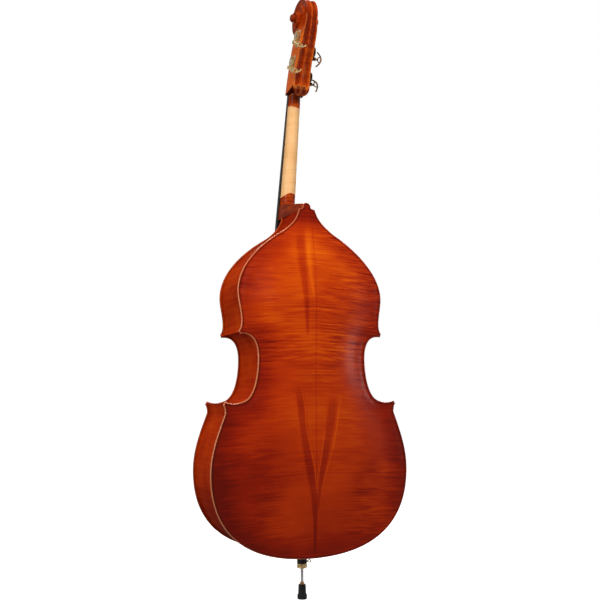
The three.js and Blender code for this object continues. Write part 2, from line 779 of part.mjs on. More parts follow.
for (const machine of machines) {
  const frame = machineFrame(machine);
  const shapes = {
    machine_plate: [machinePlate(), "brass"],
    gear: [gear(), "brass"],
    roller: [roller(machine), "steel"],
    gear_screw: [gearScrew(), "steel"],
  };
  for (const [name, [shape, finish]] of Object.entries(shapes)) {
    addPiece(`${name}_${machine.string}`, shape, finish).applyMatrix4(frame);
  }
  const worm = addPiece(`worm_key_${machine.string}`, wormKey(machine.keyTurn), "brass");
  worm.applyMatrix4(frame.clone().multiply(new THREE.Matrix4().makeTranslation(wormOut, 0, -wormDrop)));
}

// ---------------------------------------------------------------- fingerboard, nut, bridge

const board = loft([boardEnd, boardTop].map((place) => halfRing(place, place.edge, place.crown, -1)));
addPiece("fingerboard", board.applyMatrix4(neckFrame), "ebony");

const nutFrom = { ...boardTop, along: boardTop.along + gap };
const nutPlaces = [nutFrom, { ...nutFrom, along: nutFrom.along + nutThickness }];
const nut = loft(nutPlaces.map((place) => halfRing(place, place.edge, place.crown + nutProud, -1)));
addPiece("nut", nut.applyMatrix4(neckFrame), "ebony");

// Bridge seen from the front, from the middle of its treble half: x against height above the foot
const bridgeFoot = -132.5;
const bridgeRise = bridgeFoot - bridgeTop.y;
const bridgeSide = [
  [0, bridgeRise], [26, bridgeRise - 3], [47, bridgeRise - bridgeTop.crown - 1], [52, bridgeRise - 18],
  [47, 104], [56, 84], [60, 66], [52, 58], [38, 62], [36, 54], [50, 46], [68, 26], [72, 10],
  [80, 4], [80, -7], [46, -2], [46, 8], [40, 24], [22, 36], [0, 40],
];
const bridgeOutline = [...bridgeSide, ...backwards(bridgeSide).slice(1, -1).map(([x, rise]) => [-x, rise])];
const bridgeHeart = [[0, 64], [10, 74], [12, 86], [5, 92], [0, 86], [-5, 92], [-12, 86], [-10, 74]];
const drawn = (points) => backwards(points).map(([x, rise]) => [x, bridgeFoot - rise]);
const bridgePlate = solid(prismZ(drawn(bridgeOutline), bridgeAt - 20, bridgeAt + 20));
const bridgeTaper = [
  [bridgeFoot + 20, bridgeAt - 10], [bridgeFoot + 20, bridgeAt + 12],
  [bridgeTop.y - 10, bridgeAt + 4], [bridgeTop.y - 10, bridgeAt - 3],
];
const bridge = cut(
  common(bridgePlate, solid(prismX(bridgeTaper, 100))),
  solid(prismZ(drawn(bridgeHeart), bridgeAt - 30, bridgeAt + 30)),
  solid(geometryOf(topPlate).translate(0, -gap, 0)),
);
addPiece("bridge", bridge, "bridge_maple");

// ---------------------------------------------------------------- tailpiece and tail wire

const tailDirection = vec(0, tail.top.y - tail.foot.y, tail.top.z - tail.foot.z);
const tailLength = tailDirection.length();
const tailFrame = new THREE.Matrix4()
  .makeTranslation(0, tail.foot.y, tail.foot.z)
  .multiply(new THREE.Matrix4().makeRotationX(Math.atan2(-tailDirection.y, tailDirection.z)));
const tailRings = [
  { along: 0, half: 22 },
  { along: 60, half: 25 },
  { along: tailLength - 40, half: 44 },
  { along: tailLength, half: 40 },
].map((place) => halfRing(place, 5, 9, -1).map((point) => point.add(vec(0, 9, 0))));
addPiece("tailpiece", loft(tailRings).applyMatrix4(tailFrame), "ebony");

const loopRadius = 12.5 + gap + wireRadius;
const wireSide = [
  vec(11, tail.foot.y + 3, tail.foot.z - 1),
  vec(13, -111.5, 152),
  vec(14, -109.8, 142),
  vec(14.4, -106.5, 135.6),
  vec(loopRadius, -98, wireAt),
  vec(loopRadius, 0, wireAt),
];
const wireLoop = Array.from({ length: 9 }, (_, i) => {
  const angle = (Math.PI * (i + 1)) / 10;
  return vec(loopRadius * Math.cos(angle), loopRadius * Math.sin(angle), wireAt);
});
const wireBack = backwards(wireSide).map((point) => vec(-point.x, point.y, point.z));
addPiece("tail_wire", tube([...wireSide, ...wireLoop, ...wireBack], wireRadius), "steel");

// ---------------------------------------------------------------- strings

// From the tailpiece over the bridge and the nut to a roller
const strings = [
  { name: "e", place: -1.5, radius: 1.5 },
  { name: "a", place: -0.5, radius: 1.3 },
  { name: "d", place: 0.5, radius: 1.1 },
  { name: "g", place: 1.5, radius: 0.9 },
];
const spacing = { tail: 17, bridge: 28, nut: 10 };

for (const { name, place, radius } of strings) {
  const machine = machines.find(({ string }) => string === name);
  const outward = (place / 1.5) ** 2;
  const lift = radius + gap;
  const tailEnd = vec(place * spacing.tail, -3 - radius, tailLength + 1).applyMatrix4(tailFrame);
  const atBridge = vec(place * spacing.bridge, bridgeTop.y + 7.5 * outward - lift - 0.6, bridgeAt);
  const nutX = place * spacing.nut;
  const nutRise = boardTop.edge + (boardTop.crown + nutProud) * Math.sqrt(1 - (nutX / boardTop.half) ** 2);
  const atNut = vec(nutX, -nutRise - lift, nutFrom.along + nutThickness + 0.5).applyMatrix4(neckFrame);
  const middle = vec(0, 0, machine.along).applyMatrix4(pegboxFrame);
  const run = middle.clone().sub(atNut).setX(0);
  const across = vec(0, -run.z, run.y).normalize();
  const atRoller = middle.add(across.multiplyScalar(8 + lift)).setX(machine.sign * coil.x);
  addPiece(`string_${name}`, tube([tailEnd, atBridge, atNut, atRoller], radius), "steel");
}

// ---------------------------------------------------------------- endpin

const clearBore = rodRadius + gap;
const tipHole = rodEnds.low - gap;
addPiece("endpin_tip", turned([
  [0, 0], [14.7, 0], [15.7, 1.2], [15.7, 13.5], [14.4, 15], [13, 15.6], [12.2, 44], [11.2, 45],
  [clearBore, 45], [clearBore, tipHole], [0, tipHole],
]), "rubber");
addPiece("endpin_ferrule", turned([
  [clearBore, 45.3], [8.2, 45.3], [8.2, 47.5], [6.6, 52], [clearBore, 52], [clearBore, 45.3],
], 18), "copper");
addPiece("endpin_rod", turned([
  [0, rodEnds.low], [rodRadius, rodEnds.low], [rodRadius, rodEnds.high - 2],
  [rodRadius - 1.5, rodEnds.high], [0, rodEnds.high],
]), "steel");
const collarTop = plugBottom - gap;
addPiece("endpin_collar", turned([
  [clearBore, 95], [15, 95], [16, 96.2], [16, 108.5], [15.2, collarTop], [clearBore, collarTop],
  [clearBore, 95],
]), "brass");

const screwHole = solid(rodX(2.7 + gap, -30, 0, 14).translate(0, 0, screwAt));
const plug = solid(turned([
  [clearBore, plugBottom], [plugRadius, plugBottom], [plugRadius, 129], [12.5, 130.5], [12.5, 135.5],
  [plugRadius, 137], [plugRadius, 146.5], [plugStem.radius, 146.5], [12.2, plugStem.top],
  [clearBore, plugStem.top], [clearBore, plugBottom],
]));
addPiece("endpin_plug", cut(plug, screwHole), "ebony");

// Thumbscrew: a threaded shank with a flat oval eye
const shank = solid(rodX(2.7, -21, -rodRadius - gap, 14));
const eye = new THREE.Shape().absellipse(-25.5, 0, 7.5, 5.5, 0, 2 * Math.PI);
eye.holes.push(new THREE.Path().absellipse(-26.5, 0, 3.2, 2.4, 0, 2 * Math.PI, true));
const eyePlate = solid(extruded(eye, 4).translate(0, 0, -2).rotateX(Math.PI / 2));
const thumbscrew = geometryOf(join(shank, eyePlate)).translate(0, 0, screwAt);
addPiece("endpin_thumbscrew", thumbscrew, "brass");

export default group;
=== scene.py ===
import math

import bmesh
import bpy
import numpy as np
from mathutils import Matrix, Vector, geometry


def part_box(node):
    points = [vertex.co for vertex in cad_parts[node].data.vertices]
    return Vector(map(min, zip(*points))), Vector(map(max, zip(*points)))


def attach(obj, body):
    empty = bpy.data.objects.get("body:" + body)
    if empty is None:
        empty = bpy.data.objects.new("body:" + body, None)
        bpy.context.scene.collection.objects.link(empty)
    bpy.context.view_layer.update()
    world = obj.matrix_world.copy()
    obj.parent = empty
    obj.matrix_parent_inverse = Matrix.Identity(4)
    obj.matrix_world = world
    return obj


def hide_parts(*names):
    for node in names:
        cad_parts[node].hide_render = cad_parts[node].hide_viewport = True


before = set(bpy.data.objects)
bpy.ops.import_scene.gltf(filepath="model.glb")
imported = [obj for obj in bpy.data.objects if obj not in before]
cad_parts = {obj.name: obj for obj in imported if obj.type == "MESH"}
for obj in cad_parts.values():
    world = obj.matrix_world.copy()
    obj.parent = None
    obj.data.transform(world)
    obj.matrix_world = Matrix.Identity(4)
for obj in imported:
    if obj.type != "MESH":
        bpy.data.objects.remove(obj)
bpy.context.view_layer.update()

# ---------------------------------------------------------------- camera

# The instrument is seen from behind, from its treble side and a little above the floor.
camera_data = bpy.data.cameras.new("camera")
camera_data.lens = 46.8
camera_data.sensor_width = 36
camera = bpy.data.objects.new("camera", camera_data)
bpy.context.scene.collection.objects.link(camera)
camera_right = Vector((-0.9200, 0.3919, -0.0055))
camera_up = Vector((0.0423, 0.1133, 0.9927))
camera_back = camera_right.cross(camera_up)
turned_axes = Matrix((camera_right, camera_up, camera_back)).transposed().to_4x4()
camera.matrix_world = Matrix.Translation((1.0118, 2.3668, 0.6426)) @ turned_axes
bpy.context.scene.camera = camera

# ---------------------------------------------------------------- driving dimensions, in millimetres

METRES = 0.001


def box_mm(node):
    low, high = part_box(node)
    return low / METRES, high / METRES


back_low, back_high = box_mm("back_plate")
belly_high = box_mm("top_plate")[1]
rib_high = box_mm("lower_rib_treble")[1]
bridge_low, bridge_high = box_mm("bridge")
tip_low = box_mm("endpin_tip")[0]
rod_low, rod_high = box_mm("endpin_rod")
screw_low, screw_high = box_mm("endpin_thumbscrew")

# Body outline: half widths and heights
body_bottom = back_low.z
button_top = back_high.z
heel_at = belly_high.z + 1
lower_half = back_high.x
waist_half = 185
upper_half = 251
root_half = 29

# Sound box
rib_depth = rib_high.y
gap = 0.3
plate_thick = 7
overhang = 6
rib_thick = 2.5
taper_start = 945
taper_slope = 0.13
taper_blend = 28
back_arch = 27
belly_arch = 34
arch_flatness = 1.5
arch_middle = 690
arch_reach = 550

# Plate edges: their rounding, the channel inside them and the purfling line
edge_round = 3.2
channel_in = 11
channel_wide = 6.5
channel_deep = 1.5
purfling_in = 6.2

# Neck and fingerboard
neck_lean = 0.1902
glue_point = Vector((0, -49, 1666))
board_top = {"along": 17.3, "half": 21.5, "edge": 11, "crown": 4}
board_end = {"along": -815, "half": 43.5, "edge": 12, "crown": 10}
board_round = 1.2
nut_thick = 8
nut_proud = 1.5
bridge_at = (bridge_low.z + bridge_high.z) / 2
bridge_top = -279
tail_top = Vector((0, -232, 500))
tail_foot = Vector((0, -121, 186))

# Pegbox, scroll and machines
pegbox_at = Vector((0, 3, 1732))
pegbox_lean = 0.4625
cheek_half = 29.4
cheek_taper = 0.0364
throat_half = 20.4
throat_from = 150
throat_length = 48
roller_pitch = 42
gear_out = 9.5
worm_drop = 21.2
scroll_eye = (45, 1914)

# ---------------------------------------------------------------- meshes

FULL = 2 * math.pi

# Moves a shape turned about Z, so that its axis lies along Y or X
Z_TO_Y = Matrix(((1, 0, 0, 0), (0, 0, 1, 0), (0, 1, 0, 0), (0, 0, 0, 1)))
Z_TO_X = Matrix(((0, 0, 1, 0), (1, 0, 0, 0), (0, 1, 0, 0), (0, 0, 0, 1)))


def add_piece(name, shape, material, stands_for, body="bass", sharp=38):
    """A mesh from a shape, which is points in millimetres and faces. Turns over sharp degrees stay crisp."""
    points, faces = shape
    mesh = bpy.data.meshes.new(name)
    mesh.from_pydata([tuple(Vector(p) * METRES) for p in points], [], faces)
    mesh.validate()
    outward = bmesh.new()
    outward.from_mesh(mesh)
    bmesh.ops.recalc_face_normals(outward, faces=outward.faces)
    outward.to_mesh(mesh)
    outward.free()
    mesh.polygons.foreach_set("use_smooth", [True] * len(mesh.polygons))
    mesh.set_sharp_from_angle(angle=math.radians(sharp))
    mesh.materials.append(material)
    piece = bpy.data.objects.new(name, mesh)
    bpy.context.scene.collection.objects.link(piece)
    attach(piece, body)
    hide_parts(stands_for)
    return piece


def give_attribute(piece, name, values):
    """One number for each point, for the material to read."""
    attribute = piece.data.attributes.new(name, "FLOAT", "POINT")
    attribute.data.foreach_set("value", np.asarray(values, np.float32))


def placed(shape, matrix):
    """A shape moved by a matrix. A mirrored one still faces outwards."""
    points, faces = shape
    if matrix.determinant() < 0:
        faces = [face[::-1] for face in faces]
    return [matrix @ Vector(p) for p in points], faces


def merged(*shapes):
    points, faces = [], []
    for more_points, more_faces in shapes:
        base = len(points)
        points.extend(more_points)
        faces.extend([tuple(base + i for i in face) for face in more_faces])
    return points, faces


def lofted(rings, caps=True):
    """Closed rings of the same number of points, joined to each other."""
    count = len(rings[0])
    points = [p for ring in rings for p in ring]
    faces = []
    for r in range(len(rings) - 1):
        for i in range(count):
            j = (i + 1) % count
            faces.append((r * count + i, r * count + j, (r + 1) * count + j, (r + 1) * count + i))
    if caps:
        faces.append(tuple(reversed(range(count))))
        faces.append(tuple((len(rings) - 1) * count + i for i in range(count)))
    return points, faces


def around(count):
    return [FULL * i / count for i in range(count)]


def oval(middle, way, other, wide, deep, sides):
    """A ring of points about a middle, this wide and deep along two ways."""
    return [middle + way * (wide * math.cos(a)) + other * (deep * math.sin(a)) for a in around(sides)]


def lathed(profile, sides=48):
    """[radius, z] profile turned about Z."""
    rings = []
    for radius, z in profile:
        r = max(radius, 0.01)
        rings.append([(r * math.cos(a), r * math.sin(a), z) for a in around(sides)])
    return lofted(rings)


def softened(profile, radius=0.5, steps=3):
    """A profile with its corners rounded off."""
    out = [profile[0]]
    for before, here, after in zip(profile, profile[1:], profile[2:]):
        a, b, c = (Vector((*p, 0)) for p in (before, here, after))
        reach = min(radius, (a - b).length / 2.2, (c - b).length / 2.2)
        start = b + (a - b).normalized() * reach
        end = b + (c - b).normalized() * reach
        for i in range(steps + 1):
            t = i / steps
            p = start.lerp(b, t).lerp(b.lerp(end, t), t)
            out.append((p.x, p.y))
    return [*out, profile[-1]]


def tube(path, radius, sides=12):
    """A round tube along points, with closed ends."""
    path = [Vector(p) for p in path]
    rings = []
    side = (path[1] - path[0]).orthogonal().normalized()
    for i, point in enumerate(path):
        ahead = (path[min(i + 1, len(path) - 1)] - path[max(i - 1, 0)]).normalized()
        side = (side - ahead * side.dot(ahead)).normalized()
        rings.append(oval(point, side, ahead.cross(side), radius, radius, sides))
    return lofted(rings)


def bezier(*points):
    """A cubic Bezier curve as points about 4 mm apart, without its last point."""
    a, b, c, d = (np.array(p, float) for p in points)
    span = np.linalg.norm(b - a) + np.linalg.norm(c - b) + np.linalg.norm(d - c)
    count = max(6, int(span / 4))
    t = np.linspace(0, 1, count, endpoint=False)[:, None]
    return (1 - t) ** 3 * a + 3 * t * (1 - t) ** 2 * b + 3 * t**2 * (1 - t) * c + t**3 * d


def smooth_line(points, steps=8):
    """A curve through all of the points."""
    points = [np.array(p, float) for p in points]
    last = len(points) - 1
    out = []
    for i in range(last):
        a, b, c, d = (points[min(max(i + k, 0), last)] for k in (-1, 0, 1, 2))
        for s in range(steps):
            t = s / steps
            square = (2 * a - 5 * b + 4 * c - d) * t**2
            cube = (3 * b - a - 3 * c + d) * t**3
            out.append(0.5 * (2 * b + (c - a) * t + square + cube))
    return [*out, points[-1]]


def eased(t):
    t = min(max(t, 0), 1)
    return t * t * (3 - 2 * t)


def between(a, b, t):
    """The set of sizes at a share t of the way from a to b."""
    return {key: a[key] + (b[key] - a[key]) * t for key in a}


def looked_up(table, key):
    """The value at key in a table of (key, value) pairs."""
    return float(np.interp(key, *zip(*table)))


# ---------------------------------------------------------------- materials

# Places of a Mix node's colour sockets, which share their names with its other sockets
MIX_A, MIX_B, MIX_RESULT = 6, 7, 2


class Shader:
    """A material whose node tree is built from one node's output to the next node's input."""

    def __init__(self, name):
        self.material = bpy.data.materials.new(name)
        self.material.use_nodes = True
        self.tree = self.material.node_tree
        self.surface = self.tree.nodes["Principled BSDF"]
        self.place = self.node("ShaderNodeTexCoord").outputs["Object"]

    def put(self, socket, value):
        if isinstance(value, bpy.types.NodeSocket):
            self.tree.links.new(value, socket)
        else:
            socket.default_value = value

    def node(self, kind, inputs=None, **settings):
        node = self.tree.nodes.new(kind)
        for key, value in settings.items():
            setattr(node, key, value)
        for key, value in (inputs or {}).items():
            self.put(node.inputs[key], value)
        return node

    def noise(self, scale, detail=3.0, rough=0.5, bend=0.0, offset=(0, 0, 0), source=None):
        """Noise from 0 to 1 whose features have these three scales."""
        mapping = {"Vector": source or self.place, "Scale": scale, "Location": offset}
        inputs = {
            "Vector": self.node("ShaderNodeMapping", mapping).outputs["Vector"],
            "Scale": 1.0,
            "Detail": detail,
            "Roughness": rough,
            "Distortion": bend,
        }
        return self.node("ShaderNodeTexNoise", inputs).outputs["Fac"]

    def math(self, operation, a, b=0.0, c=0.0):
        return self.node("ShaderNodeMath", {0: a, 1: b, 2: c}, operation=operation).outputs[0]

    def plus(self, first, *others):
        for other in others:
            first = self.math("ADD", first, other)
        return first

    def times(self, first, *others):
        for other in others:
            first = self.math("MULTIPLY", first, other)
        return first

    def minus(self, a, b):
        return self.math("SUBTRACT", a, b)

    def times_plus(self, a, b, c):
        return self.math("MULTIPLY_ADD", a, b, c)

    def absolute(self, a):
        return self.math("ABSOLUTE", a)

    def fit(self, value, low, high, out_low=0.0, out_high=1.0, kind="LINEAR"):
        """The range from low to high stretched to the range from out_low to out_high, and flat beyond it."""
        inputs = {"Value": value, "From Min": low, "From Max": high, "To Min": out_low, "To Max": out_high}
        return self.node("ShaderNodeMapRange", inputs, interpolation_type=kind, clamp=True).outputs["Result"]

    def ease(self, value, low, high, out_low=0.0, out_high=1.0):
        return self.fit(value, low, high, out_low, out_high, "SMOOTHSTEP")

    def spread(self, noise, low, high):
        """Noise stretched to a range, from the values that most of it lies between."""
        return self.fit(noise, 0.3, 0.7, low, high)

    def ramp(self, value, stops):
        node = self.node("ShaderNodeValToRGB", {"Fac": value})
        ramp = node.color_ramp
        while len(ramp.elements) < len(stops):
            ramp.elements.new(0.5)
        for element, (position, color) in zip(ramp.elements, stops):
            element.position = position
            element.color = (*color, 1)
        return node.outputs["Color"]

    def blend(self, amount, color, other):
        """A colour socket mixed with a plain colour or with another socket."""
        node = self.node("ShaderNodeMix", data_type="RGBA", blend_type="MIX")
        self.put(node.inputs["Factor"], amount)
        self.put(node.inputs[MIX_A], color)
        self.put(node.inputs[MIX_B], (*other, 1) if isinstance(other, tuple) else other)
        return node.outputs[MIX_RESULT]

    def axes(self, vector=None):
        outputs = self.node("ShaderNodeSeparateXYZ", {"Vector": vector or self.place}).outputs
        return outputs["X"], outputs["Y"], outputs["Z"]

    def joined(self, x, y, z):
        return self.node("ShaderNodeCombineXYZ", {"X": x, "Y": y, "Z": z}).outputs["Vector"]

    def attribute(self, name):
        return self.node("ShaderNodeAttribute", attribute_name=name).outputs["Fac"]

    def bumped(self, height, distance, strength):
        inputs = {"Height": height, "Distance": distance, "Strength": strength}
        return self.node("ShaderNodeBump", inputs).outputs["Normal"]

    def finish(self, color, roughness, metallic=0.0, normal=None, coat=0.0, coat_rough=0.1, level=0.5):
        settings = {
            "Base Color": color,
            "Roughness": roughness,
            "Metallic": metallic,
            "Coat Weight": coat,
            "Coat Roughness": coat_rough,
            "Specular IOR Level": level,
        }
        if normal is not None:
            settings["Normal"] = normal
        for socket, value in settings.items():
            self.put(self.surface.inputs[socket], value)
        return self.material


# From the deepest red-brown to gold
VARNISH = [
    (0.13, 0.004, 0.0003),
    (0.27, 0.010, 0.0004),
    (0.47, 0.032, 0.0006),
    (0.68, 0.085, 0.001),
    (0.86, 0.185, 0.003),
]
BELLY_VARNISH = [
    (0.18, (0.16, 0.010, 0.001)),
    (0.42, (0.42, 0.045, 0.002)),
    (0.6, (0.64, 0.12, 0.006)),
    (0.8, (0.80, 0.24, 0.015)),
]
NECK_VARNISH = [
    (0.2, (0.13, 0.006, 0.001)),
    (0.42, (0.32, 0.022, 0.001)),
    (0.56, (0.54, 0.065, 0.002)),
    (0.8, (0.80, 0.19, 0.006)),
]
BARE_MAPLE = [(0.25, (0.82, 0.42, 0.16)), (0.5, (0.92, 0.52, 0.22)), (0.75, (0.96, 0.60, 0.28))]
EBONY = [(0.25, (0.006, 0.005, 0.0045)), (0.6, (0.016, 0.013, 0.011)), (0.9, (0.04, 0.03, 0.024))]
SPRUCE = [(0.2, (0.50, 0.32, 0.15)), (0.5, (0.68, 0.48, 0.26)), (0.8, (0.78, 0.60, 0.36))]
MAPLE = [(0.2, (0.50, 0.33, 0.16)), (0.5, (0.66, 0.47, 0.26)), (0.8, (0.76, 0.58, 0.36))]

# Streaks that run up the back in the shape of a V. Each is a line of (height, across) points, its half width,
# the softness of its sides, and how much lighter the varnish is there. In metres.
STREAKS = [
    (
        [
            (0.17, -0.002), (0.32, 0.0065), (0.38, 0.0165), (0.46, 0.032), (0.535, 0.043), (0.61, 0.052),
            (0.66, 0.057),
        ],
        0.008, 0.010, -0.13,
    ),
    (
        [(0.30, -0.0070), (0.38, -0.0150), (0.457, -0.028), (0.53, -0.042), (0.58, -0.050), (0.63, -0.056)],
        0.008, 0.012, -0.11,
    ),
    ([(0.84, 0.030), (0.96, 0.031), (1.04, 0.034), (1.12, 0.033), (1.17, 0.028)], 0.005, 0.018, -0.13),
    (
        [(0.15, -0.004), (0.335, 0.0), (0.72, 0.002), (0.90, -0.002), (1.08, -0.0105), (1.21, -0.013)],
        0.0004, 0.002, -0.09,
    ),
    (
        [(0.335, 0.0), (0.412, 0.0066), (0.473, 0.0208), (0.535, 0.0343), (0.612, 0.0423), (0.664, 0.0502)],
        0.0008, 0.003, 0.13,
    ),
    ([(0.36, -0.001), (0.381, -0.0025), (0.442, -0.0134), (0.533, -0.027)], 0.0008, 0.003, 0.11),
    ([(0.335, -0.0124), (0.434, -0.041), (0.511, -0.0618), (0.626, -0.0813)], 0.0008, 0.004, 0.09),
    ([(0.95, 0.004), (1.05, 0.009), (1.16, 0.0044)], 0.0050, 0.012, 0.09),
]
streak_reach = 0.4
streak_taper = {"length": 0.25, "start": 0.3}


def streak(s, across, height, line, width, soft):
    """1 on a smooth line through (height, across) points, and 0 away from it. It starts thin at its foot."""
    low, high = line[0][0], line[-1][0]
    curve_node = s.node("ShaderNodeFloatCurve", {"Value": s.fit(height, low, high)})
    curve_node.mapping.use_clip = False
    curve = curve_node.mapping.curves[0]
    places = [((z - low) / (high - low), x / streak_reach + 0.5) for z, x in line]
    curve.points[0].location = places[0]
    curve.points[1].location = places[-1]
    for place in places[1:-1]:
        curve.points.new(*place)
    curve_node.mapping.update()
    middle = s.times(s.minus(curve_node.outputs["Value"], 0.5), streak_reach)
    taper = s.fit(height, low, low + streak_taper["length"], streak_taper["start"], 1)
    distance = s.math("DIVIDE", s.absolute(s.minus(across, middle)), taper)
    ends = s.times(s.ease(height, low - 0.03, low + 0.03), s.ease(height, high - 0.05, high + 0.03, 1, 0))
    return s.times(s.ease(distance, width, width + soft, 1, 0), ends)


def maple_figure(s, fine=1.0, strength=1.0, source=None):
    """Flame across the grain, as a value about 0.5. It is stronger in some places than in others."""
    broad = s.noise((5, 5, 48 * fine), detail=2, bend=0.3, offset=(3.1, 0, 1.7), source=source)
    narrow = s.noise((9, 9, 170 * fine), detail=4, rough=0.7, bend=0.2, source=source)
    lines = s.fit(s.noise((8, 8, 110 * fine), detail=2, offset=(8, 1, 5), source=source), 0.56, 0.72)
    where = s.noise((4.2, 4.2, 3.4), detail=2, offset=(0, 5, 2))
    flame = s.minus(s.plus(s.times(broad, 0.25), s.times(narrow, 0.75)), 0.5)
    flame = s.times(s.times_plus(lines, -0.16, flame), s.fit(where, 0.35, 0.65, 0.25, 1.2))
    return s.times_plus(flame, strength, 0.51)


def inlaid(s, color, strength, dark):
    """A plate's colour with the dark line of purfling let in beside its edge."""
    off_line = s.absolute(s.minus(s.attribute("edge"), purfling_in * METRES))
    return s.blend(s.fit(off_line, 0.0008, 0.0016, strength, 0), color, dark)


def varnished_back():
    s = Shader("varnished_flamed_maple_back")
    x, y, z = s.axes()
    aside = s.absolute(x)
    book_matched = s.joined(aside, y, s.times_plus(aside, 0.05, z))
    flame = maple_figure(s, strength=s.fit(z, 0.5, 0.9, 0.7, 1.3), source=book_matched)
    patches = s.spread(s.noise((4, 4, 5), detail=3, offset=(1.3, 2.2, 0.4)), -0.10, 0.10)
    up_the_back = s.ease(z, 0.55, 1.15, -0.035, 0.07)
    near_edge = s.ease(s.attribute("edge"), 0.0, 0.10, -0.16, 0.0)
    # Painted shade: the treble side of the lower back is darker, standing in for light that falls from the
    # bass side.
    treble_side_painted_shade = s.times(s.ease(x, 0.02, 0.20, 0, -0.13), s.ease(z, 0.75, 1.0, 1, 0.25))
    at_button = s.ease(z, 1.17, 1.25, 0, -0.22)
    value = s.plus(flame, patches, up_the_back, near_edge, treble_side_painted_shade, at_button)
    for line, width, soft, lighter in STREAKS:
        value = s.times_plus(streak(s, x, z, line, width, soft), lighter, value)
    color = s.ramp(value, list(zip((0.16, 0.33, 0.50, 0.66, 0.86), VARNISH)))
    color = inlaid(s, color, 0.8, (0.03, 0.003, 0.001))
    # Painted highlight: a pale line along the back's rounded edge on the treble side, where the light catches
    # it.
    painted_edge_highlight = s.times(s.fit(s.attribute("edge"), 0.0018, 0.003, 0.48, 0), s.fit(x, -0.05, 0.08))
    color = s.blend(painted_edge_highlight, color, (0.95, 0.33, 0.10))
    rough = s.spread(s.noise((22, 22, 22), detail=4), 0.27, 0.36)
    normal = s.bumped(s.noise((300, 300, 18), detail=2), 0.00008, 0.4)
    glossy_edge = s.fit(s.attribute("edge"), 0.002, 0.004, 1.0, 0.2)
    return s.finish(color, rough, normal=normal, coat=glossy_edge, coat_rough=0.2, level=0.05)


def varnished_ribs():
    s = Shader("varnished_maple_ribs")
    _, y, z = s.axes()
    unrolled = s.joined(s.attribute("along"), y, 0.0)
    grain = s.noise((6, 420, 1), detail=2, source=unrolled)
    figure = s.noise((70, 5, 1), detail=2, bend=0.3, source=unrolled)
    patches = s.noise((7, 9, 1), detail=2, offset=(2, 1, 0), source=unrolled)
    value = s.plus(s.spread(grain, -0.07, 0.07), s.spread(figure, 0.45, 0.55), s.spread(patches, -0.10, 0.06))
    # Darker towards the top end of the ribs, and painted shade towards their bottom, where less light falls.
    value = s.plus(value, s.ease(z, 1.04, 1.18, 0, -0.17), s.ease(z, 0.22, 0.50, -0.12, 0))
    color = s.ramp(value, list(zip((0.15, 0.32, 0.5, 0.72), VARNISH)))
    rough = s.spread(s.noise((25, 25, 25), detail=3), 0.28, 0.38)
    normal = s.bumped(grain, 0.0001, 0.15)
    return s.finish(color, rough, normal=normal, coat=0.05, coat_rough=0.25, level=0.0)


def varnished_belly():
    s = Shader("varnished_spruce_belly")
    rings = s.noise((520, 40, 1.2), detail=2, bend=0.05)
    wide = s.noise((60, 10, 0.8), detail=2)
    patches = s.noise((4, 4, 3), detail=3)
    near_edge = s.ease(s.attribute("edge"), 0.0, 0.09, -0.16, 0.0)
    value = s.plus(s.spread(rings, -0.13, 0.13), s.spread(wide, 0.44, 0.58), s.spread(patches, -0.08, 0.08))
    color = inlaid(s, s.ramp(s.plus(value, near_edge), BELLY_VARNISH), 0.85, (0.02, 0.005, 0.002))
    rough = s.spread(s.noise((22, 22, 22), detail=4), 0.28, 0.38)
    return s.finish(color, rough, normal=s.bumped(rings, 0.0002, 0.4), coat=0.2, coat_rough=0.2, level=0.16)


